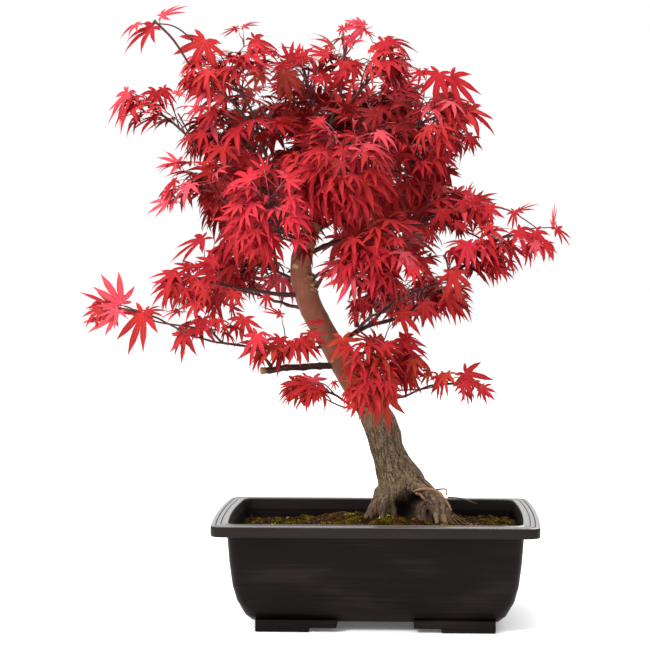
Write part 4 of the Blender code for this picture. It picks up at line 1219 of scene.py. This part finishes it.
# %% Growing the sprays
LEAF = 28 * MM                     # length of a full blade
TWIGS_PER_MASS = 22
TWIG_REACH = 0.62
PAIR_EVERY = 13 * MM
PETIOLE = (10 * MM, 20 * MM)
SLACK = {"outer": 2.6 * MM, "inner": 9.0 * MM}     # how far leaves may pass their mass's space
INNER = ("crown_heart", "crown_top", "crown_left", "crown_right", "back_top", "back_left", "back_right",
         "left_inner", "right_mid", "centre_left")
ROOM = 7.0 * MM
BOX_SLACK = 1.5 * MM
BOX = [[CAD_BOX[end][k] - PLACE[k] + (end * 2 - 1) * BOX_SLACK for k in range(3)] for end in (0, 1)]
STACKING = 2.4
SIZES = (1.0, 0.8, 0.6)
BACK_FROM = 60 * MM
FACE_OUT = 0.9
WOBBLE = 0.38
HANG = 0.50
SEED = 11
# the inner shares lean to the shaded crimson, a darker copy of crimson that is painted shade inside the crown
TINT_SHARES = {
    "inner": (("wine", 0.45), ("crimson", 0.40), ("scarlet", 0.15)),
    "outer": (("wine", 0.18), ("crimson", 0.52), ("scarlet", 0.20), ("rose", 0.10)),
    "tip": (("crimson", 0.22), ("scarlet", 0.18), ("rose", 0.60)),
    "low": (("crimson", 0.34), ("scarlet", 0.42), ("ember", 0.24)),
    "bright": (("cherry", 0.66), ("crimson", 0.24), ("scarlet", 0.10)),
    "top": (("crimson", 0.42), ("scarlet", 0.24), ("wine", 0.14), ("rose", 0.12), ("bronze", 0.08)),
}
MASS_TINTS = {"left_far": "tip", "right_tip": "tip", "top_left_tip": "tip", "front_low": "low",
              "low_left": "low", "low_right": "low", "low_right_far": "low", "stub_cloud": "low",
              "centre_left": "bright", "top_left": "top", "top_centre": "top"}
FULLNESS = {"crown_heart": 1.5, "crown_top": 1.7, "crown_right": 1.3, "crown_left": 1.2, "centre_left": 1.3,
            "back_top": 1.4, "right_mid": 1.2, "top_centre": 1.4, "top_tuft": 1.2, "top_right": 1.2,
            "back_low_left": 0.5, "left_mid": 0.75, "left_low": 0.5, "stub_cloud": 0.9, "left_far": 0.35,
            "right_tip": 0.5, "right_far": 0.8, "low_left": 0.5, "low_right_far": 0.5, "left_upper": 0.4,
            "left_mid_upper": 0.9, "top_left_tip": 0.1}

# gaps through the crown, as x, z and half sizes in mm on the plant's middle plane
WINDOWS = (
    (-59, 473, 8, 7), (-84, 319, 8, 9), (-48, 313, 6, 13), (-47, 333, 5, 5), (-183, 378, 8, 6),
    (-169, 353, 12, 5), (-109, 269, 10, 8), (-134, 267, 6, 5), (-161, 432, 4, 7), (22, 300, 8, 6),
    (-21, 497, 4, 3), (-81, 409, 9, 6), (-134, 424, 7, 5), (35, 319, 5, 3), (85, 419, 4, 8),
    (44, 449, 3, 3), (-117, 500, 5, 4), (85, 327, 7, 3), (121, 328, 7, 3), (-15, 484, 6, 4),
    (-137, 484, 6, 3),
)

twigs = Pile()
stalks = Pile()
leaves = {}


def spread_headings(count, rule):
    """Even directions all round, in mixed order."""
    golden = math.pi * (3 - math.sqrt(5))
    first = rule.uniform(0, 2 * math.pi)
    headings = []
    for k in range(count):
        height = 1 - 2 * (k + 0.5) / count
        flat = math.sqrt(1 - height * height)
        turn = first + k * golden
        headings.append(Vector((flat * math.cos(turn), flat * math.sin(turn), height)))
    rule.shuffle(headings)
    return headings


def in_window(point):
    """True where a point would close one of the gaps that are pruned open from the front."""
    flat = EYE.lerp(point, -EYE.y / (point.y - EYE.y)) / MM
    return any(math.hypot((flat.x - x) / half_x, (flat.z - z) / half_z) < 1
               for x, z, half_x, half_z in WINDOWS)


def inside(point, centre, half):
    """True while a point is in the rounded space that belongs to a mass, and in the plant's box."""
    return (sum(abs((point[k] - centre[k]) / half[k]) ** 3 for k in range(3)) <= 1
            and all(BOX[0][k] < point[k] < BOX[1][k] for k in range(3)) and not in_window(point))


def clear_of_trunk(point, room):
    """True where a point is outside the trunk by some room."""
    spot, normal, _, gap = trunk_skin.find_nearest(point)
    return gap > room and (point - spot).dot(normal) > 0


def lay_leaf(start, out, lift, tint, centre, half, hearts, rule):
    """One leaf on its stalk, if there is room for it; tells whether it was laid."""
    stalk = rule.uniform(*PETIOLE)
    end_way = (out + Vector((0, 0, -HANG * rule.uniform(0.4, 1.2)))).normalized()
    base = start + out * stalk * 0.5 + end_way * stalk * 0.5
    along = (end_way + Vector((0, 0, -HANG * rule.uniform(0.2, 1.0)))).normalized()
    across = lift.cross(along).normalized()
    up = along.cross(across).normalized()
    for share in SIZES:
        size = LEAF * share * rule.uniform(0.92, 1.05)
        heart = base + along * size * 0.45
        corners = [base + along * size, base + (along * 0.7 + across * 0.6) * size,
                   base + (along * 0.7 - across * 0.6) * size]
        if not all(inside(point, centre, half) for point in corners + [base]) or in_window(heart):
            continue
        if any(spacing(heart - other, lift) < ROOM for other in hearts):
            continue
        if not all(clear_of_trunk(point, 1.5 * MM) for point in corners + [heart, base]):
            continue
        shape, loops, sizes, uvs = rule.choice(BLADES_MADE)
        turn = numpy.array((tuple(along), tuple(across), tuple(up)))
        placed = shape * (1, 1, rule.uniform(0.7, 1.5)) @ turn * size + numpy.array(tuple(base))
        leaves.setdefault(tint, Pile()).add(placed, loops, sizes, rule.random(), uvs)
        middle = start.lerp(base, 0.55) + out * stalk * 0.10
        stalks.add(*thin_tube([start, middle, base + along * 0.8 * MM], (0.50 * MM, 0.36 * MM, 0.30 * MM), 4))
        hearts.append(heart)
        return True
    return False


def spacing(step, lift):
    """Distance between two blades, where lying one above the other counts for more."""
    above = step.dot(lift)
    return math.hypot((step - lift * above).length, above * STACKING)


def grow_twig(stem, goal, lift, tint, centre, half, hearts, rule):
    """One twig from the stem to a goal, with pairs of leaves; tells how many it carries."""
    share = stem.nearest(goal)
    origin = stem.at(max(0.12, share - 0.22))
    length = (goal - origin).length
    if length < 5 * MM:
        return 0
    sag = Vector((0, 0, 0.10 * length))
    middle = origin.lerp(goal, 0.5) + sag + noise.noise_vector(goal * 50) * 2 * MM
    route = smooth_route([origin, middle, goal], 3)
    if not all(clear_of_trunk(point, 0.0) for point in route[1:]):
        return 0
    laid = 0
    pairs = max(1, min(4, int(length / PAIR_EVERY)))
    twig = Limb(route, [0.0] * len(route))
    for k in range(pairs):
        place = 1 - k / pairs * 0.85
        spot = twig.at(place)
        ahead = (spot - twig.at(max(0.0, place - 0.2))).normalized()
        aside = lift.cross(ahead).normalized()
        angle = rule.uniform(0.5, 0.9) if k == 0 else rule.uniform(0.9, 1.35)
        for sign in (1, -1):
            tilt = rule.uniform(-0.35, 0.35)
            out = (ahead * math.cos(angle) + aside * sign * math.sin(angle) + lift * tilt).normalized()
            wobble = Vector(rule.uniform(-WOBBLE, WOBBLE) for _ in range(3))
            laid += lay_leaf(spot, out, (lift + wobble).normalized(), tint, centre, half, hearts, rule)
        if k == 0:
            wobble = Vector(rule.uniform(-WOBBLE, WOBBLE) for _ in range(3))
            laid += lay_leaf(spot, ahead, (lift + wobble).normalized(), tint, centre, half, hearts, rule)
    if laid:
        radii = [(0.75 - 0.35 * k / (len(route) - 1)) * MM for k in range(len(route))]
        twigs.add(*thin_tube(route, radii, 5))
        roads.extend(route)
    return laid


# %% [markdown]
# Some shoots run past the masses, and the leaves at the crown's edge hang singly.
# Each of those shoots and leaves has a row of its own. Bare boughs inside the crown
# get spurs: short side twigs with three leaves.

# %% Longer shoots, edge leaves and spurs
# radius at the foot in mm, and the way of each longer shoot
SHOOT_TWIGS = (
    (0.85, ((-134, -24, 249), (-180, -28, 255), (-193, -30, 259), (-204, -34, 266), (-219, -36, 267))),
    (0.85, ((86, 0, 358), (112, -8, 352), (124, -12, 345), (137, -12, 336))),
    (0.85, ((86, -6, 320), (101, -10, 326), (115, -12, 332), (132, -14, 336), (152, -14, 337))),
    (0.85, ((-20, 0, 181), (-30, -10, 183), (-47, -20, 193), (-54, -26, 207))),
    (0.85, ((8, 0, 195), (21, -6, 197), (47, -14, 200), (58, -18, 211))),
    (0.85, ((-144, -44, 477), (-155, -56, 494), (-167, -64, 503), (-179, -68, 505), (-195, -70, 505))),
    (2.0, ((-55, -1, 281), (-49, -8, 291), (-43, -14, 301), (-36, -18, 312))),
    (0.85, ((-171, -8, 435), (-161, -10, 416), (-153, -12, 399))),
    (2.1, ((-17, -2, 252), (-18, -8, 262), (-18, -10, 271))),
    (0.7, ((-18, -10, 269), (-20, -11, 276), (-22, -12, 282))),
)
# tint, where the blade starts, how far its middle lobe reaches in x and z (mm), how wide it opens
SHOOT_LEAVES = (
    ("rose", (-217, -38, 272), (-16, 27), 1.00), ("rose", (-221, -42, 261), (-31, -2), 0.90),
    ("crimson", (-223, -34, 269), (-33, 15), 0.45), ("scarlet", (-198, -34, 265), (-17, -38), 0.75),
    ("scarlet", (-162, -30, 249), (-5, -31), 0.60), ("crimson", (-147, -40, 260), (-3, -27), 0.90),
    ("scarlet", (-111, -40, 261), (-6, -24), 1.10), ("scarlet", (-152, -44, 274), (-12, -17), 0.90),
    ("crimson", (-147, -30, 328), (-36, -20), 0.35), ("crimson", (-136, -36, 308), (-26, -4), 0.70),
    ("scarlet", (-167, -30, 290), (-27, 2), 0.80), ("scarlet", (-65, -34, 243), (17, -19), 0.70),
    ("rose", (-167, -40, 390), (-21, 9), 0.70), ("rose", (-173, -36, 361), (-23, -11), 0.70),
    ("rose", (-215, -2, 454), (-10, -29), 0.60), ("crimson", (-190, -6, 455), (-4, -23), 1.00),
    ("crimson", (-190, 0, 433), (-29, -10), 0.35), ("rose", (-196, -70, 505), (-20, -9), 0.35),
    ("crimson", (-184, -68, 503), (-30, -19), 0.50), ("rose", (-178, -70, 511), (23, 11), 0.40),
    ("scarlet", (-142, -58, 493), (-15, -31), 1.15), ("crimson", (-118, -34, 505), (-16, -6), 0.35),
    ("rose", (-113, -34, 506), (16, 7), 0.30), ("scarlet", (-104, -32, 496), (25, -19), 0.50),
    ("bronze", (-128, -60, 464), (-8, -15), 0.90), ("bronze", (-77, -34, 466), (17, -19), 0.90),
    ("bronze", (-96, -40, 467), (-19, -13), 0.70), ("crimson", (-75, -6, 481), (3, 17), 1.10),
    ("crimson", (-42, -8, 485), (-24, 7), 0.60), ("scarlet", (-27, -24, 477), (3, -22), 0.90),
    ("rose", (-12, 6, 510), (-22, -2), 0.80), ("rose", (-11, 4, 511), (-13, 7), 0.60),
    ("crimson", (8, -14, 496), (30, -4), 0.50), ("crimson", (6, -20, 495), (1, -32), 0.55),
    ("crimson", (53, -36, 467), (-7, -28), 1.15), ("crimson", (62, -34, 464), (24, -28), 0.70),
    ("crimson", (78, -26, 436), (26, -20), 0.70), ("rose", (80, -10, 360), (0, 15), 0.70),
    ("crimson", (83, -6, 359), (20, 11), 0.60), ("crimson", (120, -12, 351), (17, 8), 0.30),
    ("crimson", (117, -16, 351), (-2, -17), 0.60), ("rose", (150, -14, 338), (2, 21), 0.25),
    ("crimson", (153, -14, 336), (14, -15), 0.50), ("crimson", (135, -18, 334), (9, -25), 0.70),
    ("crimson", (111, -18, 324), (17, -24), 0.60), ("scarlet", (97, -14, 322), (3, -39), 0.70),
    ("ember", (65, -26, 299), (9, -27), 0.90), ("rose", (77, -30, 321), (0, -28), 0.50),
    ("scarlet", (59, -18, 279), (24, -22), 0.60), ("scarlet", (-24, -44, 308), (-7, -28), 1.00),
    ("crimson", (-13, -8, 275), (-8, -24), 0.70), ("scarlet", (-68, -24, 206), (-17, -15), 0.70),
    ("rose", (-54, -28, 209), (4, -26), 0.90), ("ember", (-28, -48, 244), (2, -30), 0.80),
    ("ember", (-13, -50, 210), (-2, -21), 0.90), ("ember", (6, -48, 198), (8, -35), 0.80),
    ("scarlet", (58, -18, 211), (-5, -25), 0.50), ("scarlet", (75, -20, 213), (23, -21), 0.80),
    ("scarlet", (0, -24, 236), (-2, 13), 1.10), ("crimson", (20, -22, 243), (28, -16), 0.60),
    ("crimson", (22, -14, 245), (21, -9), 0.35), ("scarlet", (-4, -20, 240), (-24, 11), 0.35),
    ("scarlet", (-3, -26, 239), (-14, -15), 0.80), ("crimson", (23, -16, 236), (24, -17), 0.70),
    ("scarlet", (20, -24, 265), (20, -19), 0.90), ("crimson", (-2, -12, 259), (3, -10), 0.60),
    ("crimson", (-17, -14, 271), (-11, -4), 0.45), ("scarlet", (-18, -14, 265), (-9, -13), 0.55),
    ("crimson", (-9, -6, 273), (-4, -14), 0.70), ("scarlet", (40, -20, 273), (11, -26), 0.70),
    ("ember", (46, -18, 214), (-12, -13), 0.70), ("scarlet", (53, -18, 211), (-1, -23), 0.55),
    ("ember", (32, -30, 222), (-9, -20), 0.60), ("ember", (-14, -52, 210), (-2, -20), 1.10),
    ("cherry", (-100, -40, 247), (-8, -29), 0.70), ("cherry", (-96, -36, 247), (14, -3), 0.30),
    ("crimson", (-82, -26, 243), (-5, -22), 0.90), ("scarlet", (-69, -34, 240), (6, -21), 1.00),
    ("scarlet", (-54, -38, 248), (2, -17), 1.10), ("scarlet", (-46, -36, 257), (-21, -1), 0.35),
    ("crimson", (76, -18, 364), (5, 13), 0.50), ("crimson", (72, -22, 360), (4, -14), 0.80),
    ("crimson", (82, -24, 361), (9, -19), 0.60), ("scarlet", (98, -26, 338), (-19, -8), 0.50),
    ("crimson", (96, -26, 355), (3, -19), 0.90), ("cherry", (76, -38, 324), (2, -28), 0.70),
    ("cherry", (76, -38, 324), (-24, 3), 0.25), ("scarlet", (64, -40, 300), (8, -26), 0.90),
    ("crimson", (44, -24, 332), (0, -16), 0.40), ("wine", (44, -20, 312), (15, -5), 0.50),
    ("crimson", (56, -24, 352), (0, -25), 0.90), ("crimson", (67, -20, 341), (18, -9), 0.50),
    ("bronze", (-78, -38, 467), (5, -26), 0.90), ("crimson", (-85, -20, 484), (-18, 13), 0.30),
    ("crimson", (-78, -14, 476), (-17, -7), 0.80), ("crimson", (-47, -10, 463), (-16, 2), 0.70),
    ("crimson", (-27, -24, 469), (-18, -9), 0.60), ("scarlet", (-21, -20, 477), (13, -10), 0.60),
    ("scarlet", (-21, -20, 476), (3, -22), 0.80), ("crimson", (-9, -4, 504), (9, -3), 0.50),
    ("scarlet", (-173, -42, 289), (-20, -19), 0.60), ("scarlet", (-168, -42, 288), (1, -19), 0.80),
    ("scarlet", (-121, -30, 282), (-5, -20), 1.00), ("scarlet", (-196, -36, 265), (19, 5), 0.60),
    ("rose", (-215, -6, 453), (-20, -28), 0.35), ("crimson", (-184, -6, 457), (11, -20), 0.55),
    ("crimson", (-139, -10, 438), (-18, -17), 0.60), ("rose", (-153, -12, 441), (-13, -14), 0.40),
    ("crimson", (-160, -12, 415), (-16, -9), 0.50), ("crimson", (37, -30, 468), (-9, -10), 0.90),
    ("crimson", (43, -24, 470), (-12, -5), 0.50), ("scarlet", (-129, -38, 253), (7, -8), 1.00),
    ("crimson", (-150, -34, 302), (-21, 8), 0.40), ("scarlet", (-81, -30, 263), (-19, 8), 0.35),
    ("crimson", (-93, -30, 279), (-2, -14), 0.90), ("scarlet", (-17, -16, 260), (-9, -8), 0.70),
    ("crimson", (-20, -10, 273), (-3, -12), 0.80), ("rose", (-29, -2, 509), (-6, -9), 0.80),
    ("scarlet", (79, -26, 438), (14, -14), 0.60), ("crimson", (-36, -30, 206), (2, -9), 0.80),
    ("crimson", (86, -26, 355), (16, -5), 0.40),
)
LONGEST_STALK = 14 * MM
SHOOT_TAPER = 0.47                 # share of its thickness that a shoot loses by its tip
SPURRED = ("leader", "shoulder_bough", "crown_right_bough", "top_left_bough", "left_high_bough",
           "back_left_bough", "back_right_bough", "heart_bough", "right_reach_bough", "front_left_bough",
           "left_upper_bough")
SPUR_SHARES = (0.38, 0.52, 0.66, 0.80, 0.94)
SPUR_LENGTH = (9 * MM, 20 * MM)
SPUR_SPACE = Vector((60, 60, 60)) * MM


def lay_shoot_leaf(tint, foot, reach, opening, roads, rule):
    """One leaf with a place of its own, on a stalk from the nearest twig."""
    base = Vector(foot) * MM
    along = Vector((reach[0], rule.uniform(-4, 4), reach[1])) * MM
    size = along.length
    along.normalize()
    near = min(roads, key=lambda spot: (spot - base).length)
    way = base - near
    start = near
    if way.length > LONGEST_STALK:
        start = base - way.normalized() * LONGEST_STALK * 0.8
        bent = near.lerp(start, 0.5) + Vector((0, 0, 0.12 * way.length))
        radii = [0.55 * MM - 0.03 * MM * k for k in range(7)]
        twigs.add(*thin_tube(smooth_route([near, bent, start], 3), radii, 5))
    stalks.add(*thin_tube([start, start.lerp(base, 0.55) + Vector((0, 0, 1)) * MM, base + along * 0.8 * MM],
                          (0.45 * MM, 0.36 * MM, 0.30 * MM), 4))
    lift = Vector((rule.uniform(-0.3, 0.3), -1.0, rule.uniform(0.2, 0.7)))
    across = lift.cross(along).normalized()
    up = along.cross(across).normalized()
    shape, loops, sizes, uvs = rule.choice(BLADES_MADE)
    placed = shape * (1, opening, 1) @ numpy.array((tuple(along), tuple(across), tuple(up))) * size
    leaves.setdefault(tint, Pile()).add(placed + numpy.array(tuple(base)), loops, sizes, rule.random(), uvs)


def grow_spurs(name, hearts, rule):
    """Short side twigs along a bough that runs through the crown, three leaves on each."""
    limb = limbs[name]
    laid = 0
    for share in SPUR_SHARES:
        foot = limb.at(share)
        ahead = (limb.at(min(1.0, share + 0.05)) - limb.at(share - 0.05)).normalized()
        aside = ahead.orthogonal().normalized()
        aside.rotate(Matrix.Rotation(rule.uniform(0, 2 * math.pi), 3, ahead))
        tip = foot + (aside + ahead * 0.5 + Vector((0, 0, 0.25))).normalized() * rule.uniform(*SPUR_LENGTH)
        lift = Vector((rule.uniform(-0.4, 0.4), rule.choice((-1, -0.6, 1)), 1)).normalized()
        out = (tip - foot).normalized()
        side = lift.cross(out).normalized()
        # spurs sit inside the crown, so one in three of them gets the painted shade of the shaded crimson
        tint = rule.choice(("wine", "crimson", "scarlet"))
        here = 0
        for way in (out, out * 0.5 + side, out * 0.5 - side):
            here += lay_leaf(tip, way.normalized(), lift, tint, foot, SPUR_SPACE, hearts, rule)
        if here:
            twigs.add(*thin_tube([foot, foot.lerp(tip, 0.5) + Vector((0, 0, 1)) * MM, tip],
                                 (0.8 * MM, 0.65 * MM, 0.5 * MM), 5))
            roads.append(tip)
        laid += here
    return laid


# %% [markdown]
# Every mass has a seed of its own, so a change to one leaves the others alone. The
# masses grow first, then the spurs, the shoots and the edge leaves, because each
# stalk starts from the nearest wood that has been grown by then.

# %% The whole crown
def grow_mass(name, seed):
    """Stem, twigs and leaves of one mass."""
    rule = random.Random(seed)
    centre = Vector(MASSES[name][0]) * MM
    slack = SLACK["inner" if name in INNER else "outer"]
    half = Vector(size * MM + slack for size in MASSES[name][1])
    route, radii = mass_stem(name)
    fine = smooth_route([Vector((*point, radius)) for point, radius in zip(route, radii)], 4)
    stem = Limb([Vector(row[:3]) for row in fine], [row[3] for row in fine])
    twigs.add(*thin_tube(stem.points, stem.radii, 7))
    roads.extend(stem.points)
    side = -1 if centre.y < BACK_FROM else 1
    hearts = []
    count = round(TWIGS_PER_MASS * FULLNESS.get(name, 1.0))
    laid = 0
    for heading in spread_headings(count, rule):
        reach = Vector(heading[k] * half[k] for k in range(3))
        lift = Vector((rule.uniform(-0.45, 0.45), side * FACE_OUT * rule.uniform(0.0, 1.1), 1)).normalized()
        goal = centre + reach * TWIG_REACH * rule.uniform(0.35, 1.15)
        # twigs that point into the crown take the inner shares, which carry most of the painted shade
        kind = MASS_TINTS.get(name, "outer" if (heading.y * side > -0.2 or heading.z > 0.3) else "inner")
        names, weights = zip(*TINT_SHARES[kind])
        tint = rule.choices(names, weights)[0]
        laid += grow_twig(stem, goal, lift, tint, centre, half, hearts, rule)
    return laid


roads = [point for limb in limbs.values() for point in limb.points]
total = 0
for order, name in enumerate(MASSES):
    laid = grow_mass(name, SEED + order)
    total += laid
    print(name, laid)
spur_rule = random.Random(SEED)
spur_hearts = []
for name in SPURRED:
    total += grow_spurs(name, spur_hearts, spur_rule)
for radius, row in SHOOT_TWIGS:
    route = smooth_route([Vector(spot) * MM for spot in row], 4)
    radii = [radius * MM * (1 - SHOOT_TAPER * k / (len(route) - 1)) for k in range(len(route))]
    twigs.add(*thin_tube(route, radii, 7))
    roads.extend(route)
shoot_rule = random.Random(SEED)
for row in SHOOT_LEAVES:
    lay_shoot_leaf(*row, roads, shoot_rule)
print("leaves", total + len(SHOOT_LEAVES))

# %% [markdown]
# ## Leaf colours
# In autumn each spray turns on its own, so a tint is dealt out by the spray. A
# finish is one plain red, a little lighter along the midribs and changed slightly
# from leaf to leaf. The shaded crimson is crimson darkened: painted shade, dealt
# mostly to the leaves inside the crown.

# %% Leaf finishes
TINTS = {
    # wine is crimson darkened: painted shade for the leaves inside the crown
    "wine": ((0.142, 0.003, 0.005), (0.240, 0.007, 0.009), "leaf_crimson"),
    "crimson": ((0.251, 0.004, 0.008), (0.382, 0.012, 0.018), "leaf_crimson"),
    "scarlet": ((0.273, 0.007, 0.009), (0.403, 0.020, 0.019), "leaf_scarlet"),
    "ember": ((0.262, 0.015, 0.008), (0.375, 0.034, 0.014), "leaf_scarlet"),
    "bronze": ((0.195, 0.014, 0.008), (0.300, 0.036, 0.018), "leaf_scarlet"),
    "rose": ((0.382, 0.020, 0.036), (0.567, 0.062, 0.082), "leaf_pink"),
    "cherry": ((0.360, 0.007, 0.017), (0.523, 0.028, 0.042), "leaf_pink"),
}
every_mass = list(MASSES)
for tint, pile in leaves.items():
    dark, light, slot = TINTS[tint]
    blade = Finish("leaf_" + tint, 0.6, Specular_IOR_Level=0.12)
    blade.material.use_backface_culling = False
    place = blade.node("ShaderNodeUVMap", {"uv_map": "blade"})
    u = blade.node("ShaderNodeSeparateXYZ", {}, {0: place}, output="X")
    v = blade.node("ShaderNodeSeparateXYZ", {}, {0: place}, output="Y")
    off_rib = blade.node("ShaderNodeMath", {"operation": "ABSOLUTE"}, {0: u - 0.5})
    rib = 1 - blade.band(off_rib, 0.03, 0.10)
    veins = blade.node("ShaderNodeMath", {"operation": "PINGPONG"}, {0: (v - off_rib * 0.5) * 9, 1: 0.5})
    vein = (1 - blade.band(veins, 0.04, 0.14)) * 0.5
    mixed = blade.own("tone") * 0.62 + blade.grain(160, 3.0) * 0.38
    colour = blade.blend(mixed, dark, light)
    paler = tuple(part * 1.3 + 0.006 for part in light)
    colour = blade.blend((rib * 0.6 + vein * 0.3), colour, paler)
    blade.feed("Base Color", colour)
    blade.feed("Roughness", 0.5 + mixed * 0.2)
    blade.relief(rib + vein, 0.0003, 0.5)
    finish_piece("leaves_" + tint, pile.mesh("leaves_" + tint), blade.material, slot, *every_mass)

# %% [markdown]
# Twigs are the same dark wood as the boughs, redder as they get younger, and the
# leaf stalks are thin and bright pinkish red.

# %% Twigs and stalks
twig_bark = Finish("twig_bark", 0.55, Specular_IOR_Level=0.2)
mottle = twig_bark.grain(200, 2.0)
twig_bark.feed("Base Color", twig_bark.blend(mottle, (0.030, 0.007, 0.008), (0.120, 0.024, 0.022)))
finish_piece("twigs", twigs.mesh("twigs"), twig_bark.material, "bough_bark")
stalk_skin = Finish("leaf_stalk", 0.45)
mottle = stalk_skin.grain(90, 2.0)
stalk_skin.feed("Base Color", stalk_skin.blend(mottle, (0.26, 0.016, 0.026), (0.52, 0.070, 0.085)))
finish_piece("leaf_stalks", stalks.mesh("leaf_stalks"), stalk_skin.material, "leaf_pink")
